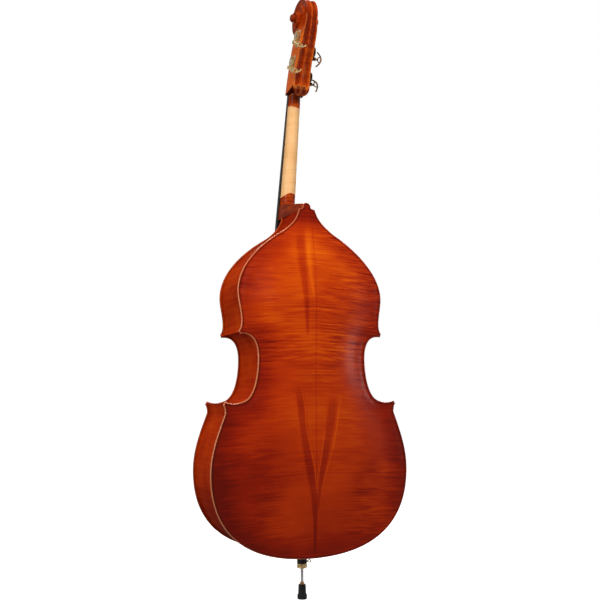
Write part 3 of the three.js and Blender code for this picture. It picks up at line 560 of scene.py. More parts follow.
def neck_wood():
    """Varnished maple at the heel and the head, and pale oiled maple along the grip."""
    s = Shader("neck_maple")
    x, y, z = s.axes()
    facing_x, _, facing_z = s.axes(s.node("ShaderNodeNewGeometry").outputs["Normal"])
    grain = s.noise((240, 240, 8), detail=2)
    patches = s.spread(s.noise((14, 14, 9), detail=3), -0.1, 0.1)
    flame = maple_figure(s, fine=0.8, strength=0.8)
    value = s.plus(flame, s.spread(grain, -0.07, 0.07), patches)
    # The bare grip starts at a bowed line above the heel and ends at a slanted line below the head
    side = s.absolute(x)
    bowed_line = s.times_plus(s.times(side, side), -17.0, 1.3385)
    above_heel = s.ease(s.minus(z, bowed_line), -0.0015, 0.0015)
    up_neck = s.times_plus(y, math.tan(neck_lean), z)
    below_head = s.ease(s.times_plus(x, -0.21, up_neck), 1.6225, 1.6265, 1, 0)
    grip = s.times(above_heel, below_head)
    color = s.blend(grip, s.ramp(value, NECK_VARNISH), s.ramp(value, BARE_MAPLE))
    heel = s.times(s.ease(z, 1.27, 1.33, 0.8, 0.45), s.minus(1, above_heel), 0.62)
    # Painted light: faces of the pegbox's cheeks that point sideways are a lighter orange, as if lit from the
    # side.
    painted_light_facing_sideways = s.fit(s.absolute(facing_x), 0.8, 0.95)
    cheeks = s.times(painted_light_facing_sideways, s.fit(z, 1.66, 1.68), s.fit(z, 1.84, 1.88, 1, 0), 0.8)
    # Painted shade: faces under the pegbox that point downwards are darkened nearly to black.
    facing_down_painted_shade = s.fit(facing_z, -0.75, -0.25, 1, 0)
    under = s.times(facing_down_painted_shade, s.fit(z, 1.64, 1.66), s.fit(z, 1.72, 1.75, 1, 0), 0.9)
    # Painted shade: darker just beneath the chin of the pegbox.
    chin = s.times(s.fit(z, 1.63, 1.66, 0, 0.7), s.fit(z, 1.672, 1.69, 1, 0))
    for amount, tint in (
        (heel, (0.12, 0.013, 0.004)),
        # Painted shade in the flutes and scoops, over the scroll's faces and on its eye.
        (s.times(s.attribute("hollow"), 0.75), (0.15, 0.010, 0.001)),
        # Painted highlight on the crests beside the flutes and round the scoops.
        (s.times(s.attribute("ridge"), 0.6), (0.95, 0.30, 0.05)),
        (cheeks, (0.90, 0.15, 0.004)),
        (under, (0.03, 0.003, 0.001)),
        (chin, (0.07, 0.006, 0.002)),
    ):
        color = s.blend(amount, color, tint)
    rough = s.plus(s.spread(s.noise((30, 30, 30), detail=3), 0.24, 0.34), s.times(grip, 0.25))
    return s.finish(color, rough, normal=s.bumped(grain, 0.0001, 0.4), coat=0.16, coat_rough=0.12, level=0.02)


def plain_wood(name, stops, rings, rough, level=0.5):
    s = Shader(name)
    grain = s.noise(rings, detail=3, bend=0.1)
    patches = s.noise((18, 18, 9), detail=3)
    color = s.ramp(s.plus(s.spread(grain, 0.3, 0.7), s.spread(patches, -0.15, 0.15)), stops)
    return s.finish(color, s.spread(patches, *rough), normal=s.bumped(grain, 0.00015, 0.5), level=level)


def metal(name, dark, light, rough, metallic=1.0):
    """Metal with faint tarnish and fine rubbing marks."""
    s = Shader(name)
    tarnish = s.noise((60, 60, 60), detail=4)
    marks = s.noise((480, 480, 480), detail=2)
    color = s.ramp(s.fit(tarnish, 0.3, 0.72), [(0.0, dark), (0.55, light), (1.0, light)])
    roughness = s.plus(s.spread(tarnish, *rough), s.spread(marks, -0.04, 0.04))
    return s.finish(color, roughness, metallic=metallic, normal=s.bumped(marks, 0.00003, 0.3))


def rubber():
    s = Shader("rubber")
    speckle = s.noise((500, 500, 500), detail=2)
    dust = s.noise((50, 50, 30), detail=4)
    color = s.ramp(dust, [(0.35, (0.006, 0.006, 0.006)), (0.7, (0.018, 0.017, 0.016))])
    return s.finish(color, s.spread(dust, 0.45, 0.62), normal=s.bumped(speckle, 0.0001, 0.4), level=0.25)


def wound_string():
    """Steel winding, with thread wound over it at both ends."""
    s = Shader("wound_steel_string")
    _, _, z = s.axes()
    wave = {"Vector": s.place, "Scale": 900.0, "Distortion": 0.4, "Detail": 1.0}
    turns = s.node("ShaderNodeTexWave", wave, bands_direction="Z").outputs["Fac"]
    winding = s.ramp(s.noise((90, 90, 12), detail=3), [(0.3, (0.34, 0.33, 0.31)), (0.7, (0.62, 0.61, 0.59))])
    thread = s.math("MAXIMUM", s.fit(z, 1.655, 1.66), s.fit(z, 0.555, 0.56, 1, 0))
    color = s.blend(thread, winding, (0.30, 0.03, 0.03))
    rough = s.plus(0.28, s.times(thread, 0.4))
    return s.finish(color, rough, metallic=0.75, normal=s.bumped(turns, 0.0001, 0.5))


back_material = varnished_back()
rib_material = varnished_ribs()
belly_material = varnished_belly()
neck_material = neck_wood()
ebony = plain_wood("oiled_ebony", EBONY, (420, 420, 9), (0.3, 0.44), level=0.22)
bare_spruce = plain_wood("bare_spruce", SPRUCE, (520, 520, 5), (0.6, 0.75))
bridge_maple = plain_wood("bridge_maple", MAPLE, (60, 260, 260), (0.45, 0.6))
brass = metal("gilt_brass", (0.55, 0.35, 0.12), (0.95, 0.70, 0.33), (0.32, 0.2), metallic=0.8)
# Painted shade: a darker copy of the same brass, for the bass side's machines, which stand in shade.
brass_in_painted_shade = metal("brass_in_painted_shade", (0.10, 0.04, 0.015), (0.26, 0.12, 0.05), (0.4, 0.26))
steel = metal("steel", (0.45, 0.44, 0.43), (0.80, 0.79, 0.77), (0.34, 0.2), metallic=0.8)
copper = metal("copper", (0.30, 0.14, 0.07), (0.62, 0.33, 0.18), (0.34, 0.2))
rubber_material = rubber()
string_material = wound_string()

# ---------------------------------------------------------------- body outline

# The treble half of the outline, in three stretches that end at the cut tips of the corners
foot_curve = bezier((0, body_bottom), (188, body_bottom), (lower_half, 210), (lower_half, 410))
shoulder_curve = np.vstack([
    bezier((upper_half, 961), (upper_half, 1050), (165, 1125), (88, 1172)),
    bezier((88, 1172), (61, 1193), (35, 1216), (root_half, 1251)),
    [(root_half, 1251)],
])
lower_edge = np.vstack([
    foot_curve,
    bezier((lower_half, 410), (lower_half, 473), (310, 534), (290, 587)),
    bezier((290, 587), (291, 603), (292, 606), (297, 614)),
    [(297, 614)],
])
waist_edge = np.vstack([
    bezier((291, 623), (271, 616), (259, 614), (234, 623)),
    bezier((234, 623), (190, 637), (waist_half, 725), (waist_half, 757)),
    bezier((waist_half, 757), (waist_half, 785), (191, 838), (243.5, 830)),
    [(243.5, 830)],
])
upper_edge = np.vstack([
    bezier((248, 840), (227, 866), (upper_half, 924), (upper_half, 961)),
    shoulder_curve,
])
button_edge = np.vstack([
    bezier((root_half, 1251), (25, 1254), (15.5, 1251.5), (14.5, 1257)),
    bezier((14.5, 1257), (14.5, 1268), (9, button_top), (0, button_top)),
    [(0, button_top)],
])

# The arching follows a line without corners
arch_edge = np.vstack([
    foot_curve,
    bezier((lower_half, 410), (lower_half, 560), (waist_half, 640), (waist_half, 757)),
    bezier((waist_half, 757), (waist_half, 850), (upper_half, 880), (upper_half, 961)),
    shoulder_curve,
])


def both_sides(half):
    """A closed outline from its treble half, which starts and ends on the centre line."""
    other = half[::-1] * (-1, 1)
    keep_top = abs(half[-1][0]) > 1e-6
    return np.vstack([half, other[0 if keep_top else 1 : -1]])


half_belly = np.vstack([lower_edge, waist_edge, upper_edge])
belly_outline = both_sides(half_belly)
back_outline = both_sides(np.vstack([half_belly[:-1], button_edge]))


def rib_back(z):
    """Depth of the ribs' back edge. It slopes forward above the taper's start, and eases into the slope."""
    over = (np.asarray(z, float) - taper_start) / taper_blend
    return rib_depth - taper_slope * taper_blend * np.logaddexp(0, over)


def half_wave(t):
    return (1 + np.cos(np.pi * np.clip(t, 0, 1))) / 2


def arching(height, x, z):
    """Height of the arching above its edge."""
    width = np.maximum(np.interp(z, arch_edge[:, 1], arch_edge[:, 0]), 1)
    along = np.abs(np.asarray(z) - arch_middle) / arch_reach
    return height * half_wave((np.abs(x) / width) ** arch_flatness) * half_wave(along**2)


def back_inside(x, z):
    return rib_back(z) + gap + arching(back_arch, x, z)


def belly_inside(x, z):
    return -rib_depth - gap - arching(belly_arch, x, z)


def edge_distance(points, loop):
    """Distance from each point to a closed line."""
    start, end = loop, np.roll(loop, -1, 0)
    step = end - start
    square = np.maximum((step**2).sum(1), 1e-9)
    out = np.empty(len(points))
    for i in range(0, len(points), 2000):
        part = points[i : i + 2000, None, :] - start[None]
        t = np.clip((part * step).sum(2) / square, 0, 1)
        out[i : i + 2000] = np.sqrt((((part - t[..., None] * step)) ** 2).sum(2)).min(1)
    return out


def is_inside(points, loop):
    """Whether each point is inside a closed line."""
    x, y = points[:, 0][:, None], points[:, 1][:, None]
    x0, y0 = loop[:, 0][None], loop[:, 1][None]
    x1, y1 = np.roll(loop[:, 0], -1)[None], np.roll(loop[:, 1], -1)[None]
    crosses = (y0 > y) != (y1 > y)
    with np.errstate(divide="ignore", invalid="ignore"):
        at = x0 + (y - y0) * (x1 - x0) / (y1 - y0)
    return (crosses & (x < at)).sum(1) % 2 == 1


def offset_loop(loop, distance):
    """A closed line moved inwards, square to itself."""
    ahead = np.roll(loop, -1, 0) - np.roll(loop, 1, 0)
    normal = np.stack([-ahead[:, 1], ahead[:, 0]], 1) / np.linalg.norm(ahead, axis=1)[:, None]
    return loop + distance * normal


def filled(loop, holes, rings, square=9.0):
    """Triangles that fill an outline less its holes, with extra points along lines inside the edge."""
    inner = []
    for distance in rings:
        ring = offset_loop(loop, distance)
        ring = ring[is_inside(ring, loop)]
        inner.append(ring[edge_distance(ring, loop) > 0.97 * distance])
    low, high = loop.min(0), loop.max(0)
    columns, rows = (np.arange(low[k], high[k], square) for k in (0, 1))
    grid = np.stack(np.meshgrid(columns, rows), 2).reshape(-1, 2)
    grid[:, 0] += square / 2 * (np.round((grid[:, 1] - low[1]) / square) % 2)
    grid = grid[is_inside(grid, loop)]
    grid = grid[edge_distance(grid, loop) > max(rings) + square * 0.5]
    for hole in holes:
        grid = grid[~is_inside(grid, hole)]
        grid = grid[edge_distance(grid, hole) > 2]
    loops = [loop, *holes]
    points = np.vstack([*loops, *inner, grid])
    edges, base = [], 0
    for line in loops:
        count = len(line)
        edges.extend((base + i, base + (i + 1) % count) for i in range(count))
        base += count
    made = geometry.delaunay_2d_cdt([Vector(p) for p in points], edges, [], 0, 1e-4)
    flat = np.array([tuple(p) for p in made[0]])
    faces = np.array(made[2])
    middle = flat[faces].mean(1)
    keep = is_inside(middle, loop)
    for hole in holes:
        keep &= ~is_inside(middle, hole)
    faces = faces[keep]
    a, b, c = (flat[faces[:, k]] for k in (0, 1, 2))
    area = (b[:, 0] - a[:, 0]) * (c[:, 1] - a[:, 1]) - (b[:, 1] - a[:, 1]) * (c[:, 0] - a[:, 0])
    faces[area < 0] = faces[area < 0][:, ::-1]
    return flat, faces[np.abs(area) > 1e-6]


def rim_edges(faces):
    """Directed edges that only one face has."""
    edges = dict.fromkeys((face[i], face[(i + 1) % 3]) for face in faces.tolist() for i in range(3))
    return [edge for edge in edges if (edge[1], edge[0]) not in edges]


def slab(points, other_points, faces):
    """A closed sheet, from the points and faces of one side and the other side's points in the same order."""
    count = len(points)
    one_side = [tuple(face) for face in faces.tolist()]
    other_side = [tuple(count + i for i in face[::-1]) for face in one_side]
    rim = [(b, a, count + a, count + b) for a, b in rim_edges(faces)]
    return [*points, *other_points], one_side + other_side + rim


def plate(name, loop, inside, direction, material, node, holes=()):
    """A carved plate with a rounded edge and a shallow channel inside it."""
    flat, faces = filled(loop, holes, rings=(0.4, 1.0, 1.8, 3, 4.6, 6.2, 8, 11, 15))
    distance = edge_distance(flat, loop)
    short = np.clip(edge_round - distance, 0, edge_round)
    rounding = edge_round - np.sqrt(edge_round**2 - short**2)
    channel = channel_deep * np.exp(-(((distance - channel_in) / channel_wide) ** 2))
    base = inside(flat[:, 0], flat[:, 1])
    outer = base + direction * (plate_thick - rounding - channel)
    inner = base + direction * 0.7 * rounding
    sides = ([(x, y, z) for (x, z), y in zip(flat, side)] for side in (outer, inner))
    shape = slab(*sides, faces[:, ::-1] if direction > 0 else faces)
    piece = add_piece(name, shape, material, node, sharp=70)
    give_attribute(piece, "edge", np.tile(distance * METRES, 2))


F_HOLE_LINE = [
    (80, 742), (88, 759), (99, 754), (104, 730), (107, bridge_at), (111, 590), (117, 562), (129, 555),
    (137, 570),
]
F_HOLE_EYES = [((81, 741), 9), ((136, 571), 12)]
F_HOLE_HALF = {"ends": 2.3, "swell": 5.4}
nick_deep = 4
nick_rise = 2
line_steps = 10


def f_hole(side):
    """The closed lines of an f-hole: a stem that is widest half way, and a round eye at each end."""
    middle = np.array(smooth_line(F_HOLE_LINE, line_steps))
    along = np.linspace(0, 1, len(middle))
    step = np.gradient(middle, axis=0)
    normal = np.stack([step[:, 1], -step[:, 0]], 1) / np.linalg.norm(step, axis=1)[:, None]
    half = (F_HOLE_HALF["ends"] + F_HOLE_HALF["swell"] * np.sin(np.pi * along) ** 2.2)[:, None]
    at = int(np.argmin(np.abs(middle[:, 1] - bridge_at)))
    sides = []
    for way in (1, -1):
        line = middle + way * half * normal
        nick = line[at] + way * nick_deep * normal[at] - nick_rise * step[at] / line_steps
        sides.append(np.insert(line, at + 1, nick, 0)[::way])
    loops = [np.vstack(sides)]
    turn = np.array(around(36))
    for centre, radius in F_HOLE_EYES:
        loops.append(np.array(centre) + radius * np.stack([np.cos(turn), np.sin(turn)], 1))
    return [loop * (side, 1) for loop in loops]


f_holes = f_hole(1) + f_hole(-1)
plate("back", back_outline, back_inside, 1, back_material, "back_plate")
plate("belly", belly_outline, belly_inside, -1, belly_material, "top_plate", f_holes)

# ---------------------------------------------------------------- ribs


def inset(points, distance):
    """An open line moved inwards, square to itself."""
    step = np.gradient(points, axis=0)
    normal = np.stack([-step[:, 1], step[:, 0]], 1) / np.linalg.norm(step, axis=1)[:, None]
    return points + distance * normal


def lengthened(points, extra=12):
    first = points[0] + extra * (points[0] - points[1]) / np.linalg.norm(points[0] - points[1])
    last = points[-1] + extra * (points[-1] - points[-2]) / np.linalg.norm(points[-1] - points[-2])
    return np.vstack([first, points, last])


def kept(points, at, normal):
    """The stretch of a line on the side of a cut that its normal points to."""
    side = (points - at) @ normal
    out = []
    for i in range(len(points)):
        if side[i] >= 0:
            out.append(points[i])
        if i + 1 < len(points) and (side[i] >= 0) != (side[i + 1] >= 0):
            t = side[i] / (side[i] - side[i + 1])
            out.append(points[i] + t * (points[i + 1] - points[i]))
    return np.array(out)


def mitre(low_side, high_side):
    """Middle and upward normal of the cut between two stretches, each given from its tip inwards."""
    ways = [(side[1] - side[0]) / np.linalg.norm(side[1] - side[0]) for side in (low_side, high_side)]
    along = (ways[0] + ways[1]) / np.linalg.norm(ways[0] + ways[1])
    return (low_side[0] + high_side[0]) / 2, np.array((along[1], -along[0]))


def resampled(points, count):
    step = np.linalg.norm(np.diff(points, axis=0), axis=1)
    along = np.concatenate([[0], np.cumsum(step)])
    at = np.linspace(0, along[-1], count)
    return np.stack([np.interp(at, along, points[:, 0]), np.interp(at, along, points[:, 1])], 1), at


lower_mitre = mitre(lower_edge[::-1], waist_edge)
upper_mitre = mitre(waist_edge[::-1], upper_edge)
foot_seam = (np.array((0.1, 0)), np.array((1.0, 0)))
heel_cut = (np.array((0, heel_at - 1)), np.array((0, -1.0)))
stretches = {
    "lower": (lower_edge, [foot_seam, (lower_mitre[0], -lower_mitre[1])]),
    "c": (waist_edge, [lower_mitre, (upper_mitre[0], -upper_mitre[1])]),
    "upper": (upper_edge, [upper_mitre, heel_cut]),
}


rib_steps = 140


def rib(name, line, cuts, sign):
    faces_at = []
    for distance in (overhang, overhang + rib_thick):
        face = lengthened(inset(line, distance))
        for at, normal in cuts:
            face = kept(face, at, normal)
        faces_at.append(resampled(face, rib_steps))
    (outer, along), (inner, _) = faces_at
    rings = []
    for out, into in zip(outer, inner):
        back = rib_back(out[1])
        ring = [(sign * out[0], -rib_depth + t * (back + rib_depth), out[1]) for t in (0, 0.5, 1)]
        ring += [(sign * into[0], rib_back(into[1]), into[1]), (sign * into[0], -rib_depth, into[1])]
        rings.append(ring if sign < 0 else ring[::-1])
    shell = name.replace("_rib", "_rib_shell")
    piece = add_piece(shell, lofted(rings), rib_material, name)
    give_attribute(piece, "along", np.repeat(along * METRES, len(rings[0])))


for side, sign in (("treble", 1), ("bass", -1)):
    for stretch, (line, cuts) in stretches.items():
        rib(f"{stretch}_rib_{side}", line, cuts, sign)

# ---------------------------------------------------------------- neck

neck_matrix = Matrix.Translation(glue_point) @ Matrix.Rotation(-neck_lean, 4, "X")
pegbox_matrix = Matrix.Translation(pegbox_at) @ Matrix.Rotation(-pegbox_lean, 4, "X")
shaft_foot = {"z": 1293, "thick": 37, "half": 26}
shaft_top = {"z": 1691, "thick": 28, "half": 20}
heel_ends = 1286
heel_fade = 22
heel_round = 13

# The heel's back edge as (height, depth), and its half width as (depth, half width)
HEEL_BACK = [
    (1250.3, 52.8), (1262, 51.4), (1269, 49.7), (1273, 44.6), (1276, 36), (1278, 26), (1283, -2),
    (1288.5, -28), (1294, -54), (1298, -70), (1300.5, -76.5), (1303.5, -79.6), (1308, -80.6),
]
HEEL_PLAN = [(-150, 28), (-92, 28), (-50, 25), (30, 15), (50, 14)]


def glue_y(z):
    return glue_point.y - (glue_point.z - z) * math.tan(neck_lean)


def neck_ring(z):
    shaft = between(shaft_foot, shaft_top, (z - shaft_foot["z"]) / (shaft_top["z"] - shaft_foot["z"]))
    thick = shaft["thick"] / math.cos(neck_lean)
    heel = 1 - eased((z - heel_ends) / heel_fade)
    front = glue_y(z)
    back = looked_up(HEEL_BACK, z) if z < HEEL_BACK[-1][0] else front + thick
    reach = (thick - 4) * (1 - heel) + heel_round * heel
    straight = back - reach

    def half_at(y):
        return heel * looked_up(HEEL_PLAN, y) + (1 - heel) * shaft["half"]

    right = []
    for i in range(8):
        y = front + (straight - front) * i / 8
        right.append((half_at(y), y, z))
    for i in range(13):
        a = math.pi / 2 * i / 12
        y = straight + reach * math.sin(a)
        right.append((half_at(y) * math.cos(a), y, z))
    left = [(-x, y, z) for x, y, z in reversed(right[:-1])]
    return right + left


heights = [1250.3, 1254, 1258, 1262, 1265, 1268, 1270]
heights += [1271 + i for i in range(38)]
heights += [1310 + 8 * i for i in range(48)]
shaft_shape = lofted([neck_ring(z) for z in heights])
add_piece("neck_shaft", shaft_shape, neck_material, "neck", sharp=50)


def cheek(y, z):
    """Half width of the pegbox. The cheeks are flat where the machines sit, and narrow into the scroll."""
    along = (y - pegbox_at.y) * math.sin(pegbox_lean) + (z - pegbox_at.z) * math.cos(pegbox_lean)
    flat = cheek_half - cheek_taper * along
    return flat + (throat_half - flat) * eased((along - throat_from) / throat_length)


# The scroll is a spiral that starts behind its eye and winds up, forward and inwards
turn_closing = 0.0536
inner_closing = 0.113
outer_end = math.radians(290)
scroll_from = math.radians(-8)
scroll_to = math.radians(1010)
outer_radius = 71
scroll_flute = 6.2

# Half width of the scroll as (degrees round it, half width)
SCROLL_HALF = [
    (-8, throat_half), (90, 19.6), (180, 20), (290, 22), (360, 24.5), (450, 27.5), (540, 30.5), (650, 34),
    (740, 37), (830, 40), (920, 43), (1010, 46), (1400, 46),
]


def scroll_radius(angle):
    if angle <= outer_end:
        return outer_radius * math.exp(-turn_closing * angle)
    return scroll_radius(outer_end) * math.exp(-inner_closing * (angle - outer_end))


def scroll_half(angle):
    return looked_up(SCROLL_HALF, math.degrees(angle))


def scroll_point(angle, radius, x):
    return (x, scroll_eye[0] + radius * math.cos(angle), scroll_eye[1] + radius * math.sin(angle))


# Across the back: -1 and 1 at the edges, with a ridge at 0 between two hollow flutes
ACROSS = [-1, -0.985, -0.955] + [-0.925 + 0.0375 * i for i in range(24)] + [-0.035, 0]
ACROSS += [-a for a in reversed(ACROSS[:-1])]


def flute(across, depth):
    """How far the back is hollowed at a place across it. The edges are a small round."""
    side = abs(across)
    hollow = depth * math.sin(math.pi * min(max((side - 0.03) / 0.9, 0), 1)) ** 0.85
    edge = 1.1 * max(0, (side - 0.93) / 0.07) ** 2
    return hollow + edge


spine_start = np.array(smooth_line([(9, 1657), (12, 1664), (16, 1674), (20.5, 1689)], 6))
spine_bend = bezier((21, 1690), (28, 1765), (106, 1828), (115.6, 1904))
spine = np.vstack([spine_start[:-1], spine_bend, [(115.6, 1904)]])
spine_step = np.linalg.norm(np.diff(spine, axis=0), axis=1)
spine_along = np.concatenate([[0], np.cumsum(spine_step)])
chin_length = float(np.interp(1690, spine[:, 1], spine_along))


def spine_at(along):
    """A point on the pegbox's back and the way out of it."""
    here, ahead, behind = (
        np.array([np.interp(place, spine_along, spine[:, k]) for k in (0, 1)])
        for place in (along, along + 3, along - 3)
    )
    step = (ahead - behind) / np.linalg.norm(ahead - behind)
    return here[0], here[1], step[1], -step[0]


# The pegbox's front edge as (share, depth, height), and the depth of its slot as (share, part of the cheek)
PEGBOX_FRONT = [
    (0.0, -51, 1677), (0.06, -47.5, 1691), (0.17, -43, 1711), (0.5, -21, 1779), (0.72, -4, 1822),
    (0.84, 12, 1852), (0.92, 30, 1874), (1.0, 60, 1912),
]
SLOT_FLOOR = [
    (0.0, 0.0), (0.09, 0.0), (0.115, 0.80), (0.2, 0.82), (0.7, 0.80), (0.8, 0.62), (0.86, 0.0), (1, 0),
]
slot_half = 16
slot_mouth = 23
chin_flute = 3.6
flute_from = 22
flute_fade = 30
CHIN_SCOOP = {"across": 0.35, "wide": 0.27, "along": 19, "long": 16, "deep": 3.2}


def carved_back(share, across):
    """Place along the spine, depth of the carving, share of a full flute, and distance from a chin scoop."""
    start = chin_length * (1 - math.sqrt(max(0, 1 - abs(across) ** 2.4)))
    along = start + (spine_along[-1] - start) * share
    deepest = chin_flute + (scroll_flute - chin_flute) * eased((share - 0.55) / 0.35)
    from_scoop = (abs(across) - CHIN_SCOOP["across"]) / CHIN_SCOOP["wide"]
    scoop = math.hypot(from_scoop, (along - CHIN_SCOOP["along"]) / CHIN_SCOOP["long"])
    fluted = flute(across, deepest * eased((along - flute_from) / flute_fade))
    inward = fluted + CHIN_SCOOP["deep"] * math.sqrt(max(0, 1 - scoop * scoop))
    return along, inward, fluted / 4, scoop


def pegbox_ring(share):
    """One section: up the bass cheek, over the carved back, down the treble cheek and round the slot."""
    front_y, front_z = (looked_up([(p[0], p[k]) for p in PEGBOX_FRONT], share) for k in (1, 2))
    back = []
    for across in ACROSS:
        along, inward, _, _ = carved_back(share, across)
        y, z, out_y, out_z = spine_at(along)
        back.append((cheek(y, z) * across, y - inward * out_y, z - inward * out_z))
    edge_y, edge_z = back[0][1:]

    def cheek_point(t, sign):
        y, z = front_y + (edge_y - front_y) * t, front_z + (edge_z - front_z) * t
        return (sign * cheek(y, z), y, z)

    up_cheek = (0.02, 0.3, 0.6, 0.85, 0.97)
    left = [cheek_point(t, -1) for t in up_cheek]
    right = [cheek_point(t, 1) for t in reversed(up_cheek)]
    wall = cheek(front_y, front_z)
    inner = slot_mouth + (slot_half - slot_mouth) * eased((share - 0.05) / 0.04)
    depth = looked_up(SLOT_FLOOR, share)
    floor_y, floor_z = front_y + (edge_y - front_y) * depth, front_z + (edge_z - front_z) * depth
    slot = [
        (wall - 1, front_y, front_z),
        (inner + 0.6, front_y, front_z),
        (inner, front_y + 0.6, front_z),
        (inner, floor_y + 0.7, floor_z),
    ]
    slot += [(-x, y, z) for x, y, z in reversed(slot)]
    return [*left, *back, *right, *slot]


# Close together over the chin, and wider apart above it
shares = [0.0075 * i for i in range(20)] + [0.15 + 0.025 * i for i in range(35)]
pegbox_rings = [pegbox_ring(share) for share in shares]
head_under = (0, -24, 1676)


def pegbox():
    points, faces = lofted(pegbox_rings, caps=False)
    count = len(pegbox_rings[0])
    under = len(points)
    points.append(head_under)
    faces.extend((i, under, (i + 1) % count)[::-1] for i in range(count))
    faces.append(tuple(range((len(pegbox_rings) - 1) * count, len(pegbox_rings) * count)))
    return points, faces


scroll_back_steps = 75


def scroll_back():
    """The fluted outside of the scroll's outer turn."""
    rings = []
    stop = math.radians(305)
    for i in range(scroll_back_steps + 1):
        angle = scroll_from + (stop - scroll_from) * i / scroll_back_steps
        radius, half = scroll_radius(angle), scroll_half(angle)
        ring = [scroll_point(angle, radius - flute(a, scroll_flute), half * a) for a in ACROSS]
        ring += [scroll_point(angle, radius * 0.5, half * x) for x in (0.7, -0.7)]
        rings.append(ring)
    return lofted(rings)


def scroll_face(sign):
    """One face of the scroll: a hollowed ramp that winds inwards and stands out more with each turn."""
    rings = []
    steps = 150
    for i in range(steps + 1):
        angle = scroll_from + (scroll_to - scroll_from) * i / steps
        outer, inner = scroll_radius(angle), scroll_radius(angle + FULL)
        half = scroll_half(angle)
        below = scroll_half(angle - FULL) - 2.5 if angle - FULL > scroll_from else half - 1.2
        ring = [(outer - 0.02, below), (outer, half - 1.0), (outer - 0.35, half - 0.3), (outer - 1.2, half)]
        for t in (0.1, 0.2, 0.35, 0.5, 0.65, 0.8, 0.92, 1.02):
            dish = 3.6 * math.sin(math.pi * t) ** 0.8 if t < 1 else 0
            ring.append((outer - (outer - inner) * t, half - 0.4 - dish - 0.6 * t))
        ring.append((max(inner - 3, 2), half - 9))
        ring.append((outer - 2, min(below, half) - 6))
        rings.append([scroll_point(angle, radius, sign * x) for radius, x in ring[::-sign]])
    return lofted(rings)


def scroll_eye_rod():
    profile = softened([(0, -49.4), (11.2, -49.4), (12.2, -38), (12.2, 38), (11.2, 49.4), (0, 49.4)], 2.2, 4)
    turn = Matrix.Translation((0, *scroll_eye)) @ Matrix.Rotation(math.pi / 2, 4, "Y")
    return placed(lathed(profile, 40), turn)


def painted_ridge_highlight(fluted, across, scoop):
    """1 along the crests beside the flutes and round the scoops: a painted highlight where light catches
    them.
    """
    crest = 0
    if fluted > 0.001:
        crest = math.exp(-(((fluted - 0.1) / 0.12) ** 2)) * (0.9 if abs(across) > 0.5 else 0.3)
    return max(crest, math.exp(-(((scoop - 1.05) / 0.15) ** 2)))


def painted_hollow_shade(fluted, scoop):
    """1 in the depth of a flute or scoop: painted shade."""
    return 1.0 if scoop < 0.95 else min(1.0, max(0.0, fluted - 0.45) * 1.6)


def head_painted_light():
    """How much painted highlight and painted shade each point of the head has, in the order of its parts."""
    unpainted, no_scoop = (0.0, 0.0), 9.0
    painted_marks = []
    for share in shares:
        painted_marks += [unpainted] * 5
        for across in ACROSS:
            _, _, fluted, scoop = carved_back(share, across)
            painted_marks.append((painted_ridge_highlight(fluted, across, scoop), painted_hollow_shade(fluted, scoop)))
        painted_marks += [unpainted] * (5 + 8)
    painted_marks.append(unpainted)
    for _ in range(scroll_back_steps + 1):
        for across in ACROSS:
            fluted = flute(across, 1.0)
            painted_marks.append((painted_ridge_highlight(fluted, across, no_scoop), painted_hollow_shade(fluted, no_scoop)))
        painted_marks += [unpainted] * 2
    # Painted shade: half dark over the scroll's faces, and full dark on its eye.
    painted_marks += [(0.0, 0.5)] * sum(len(face[0]) for face in scroll_faces)
    painted_marks += [(0.0, 1.0)] * len(eye_rod[0])
    return zip(*painted_marks)


scroll_faces = [scroll_face(1), scroll_face(-1)]
eye_rod = scroll_eye_rod()
head_shape = merged(pegbox(), scroll_back(), *scroll_faces, eye_rod)
head = add_piece("pegbox_and_scroll", head_shape, neck_material, "neck", sharp=42)
# The head's painted highlight goes into the ridge attribute, and its painted shade into the hollow attribute.
for name, values in zip(("ridge", "hollow"), head_painted_light()):
    give_attribute(head, name, values)

# ---------------------------------------------------------------- tuning machines

# For each string: its machine's side and place up the pegbox, the key's turn in degrees, and its own radius
MACHINES = [
    {"string": "e", "sign": -1, "place": 0, "turn": 125, "radius": 1.5},
    {"string": "g", "sign": 1, "place": 1, "turn": -3, "radius": 0.9},
    {"string": "a", "sign": -1, "place": 2, "turn": 92, "radius": 1.3},
    {"string": "d", "sign": 1, "place": 3, "turn": 11, "radius": 1.1},
]
worm_radius = 5.2
worm_pitch = FULL * 16 / 22
worm_turns = 3
key_half = 24
key_bow = 14
key_sweep = 7
key_out = 51
wound_radius = 8.2
wound_width = 12


def machine_matrix(machine):
    """Origin at the gear's centre on the cheek's face: X out of the cheek, Y back and Z up the cheek."""
    along = machine["place"] * roller_pitch
    flat = Matrix.Translation((cheek_half - cheek_taper * along, 0, along))
    lean = Matrix.Rotation(-math.atan(cheek_taper), 4, "Y")
    return Matrix.Diagonal((machine["sign"], 1, 1, 1)) @ pegbox_matrix @ flat @ lean


def worm_thread():
    """The worm's ridge about the Y axis. Its section is given as (along, out)."""
    ridge = [(-1.25, -1.4), (-0.75, 0.1), (-0.45, 0.85), (0.45, 0.85), (0.75, 0.1), (1.25, -1.4)]
    per_turn = 24
    steps = per_turn * worm_turns
    rings = []
    for i in range(steps + 1):
        angle = FULL * i / per_turn
        rise = worm_pitch * (i / per_turn - worm_turns / 2 - 0.75)
        fade = min(1, i / 5, (steps - i) / 5)
        ring = []
        for along, out in ridge:
            r = worm_radius + (out if out < 0 else out * fade)
            ring.append((r * math.cos(angle), rise + along, r * math.sin(angle)))
        rings.append(ring)
    return lofted(rings)


def bar_point(share):
    """A point on the middle line of a key's bar, from -1 to 1 along it."""
    square = share * share
    return Vector((key_half * share, key_out - key_sweep * square, key_bow * (square - 1) + 4))


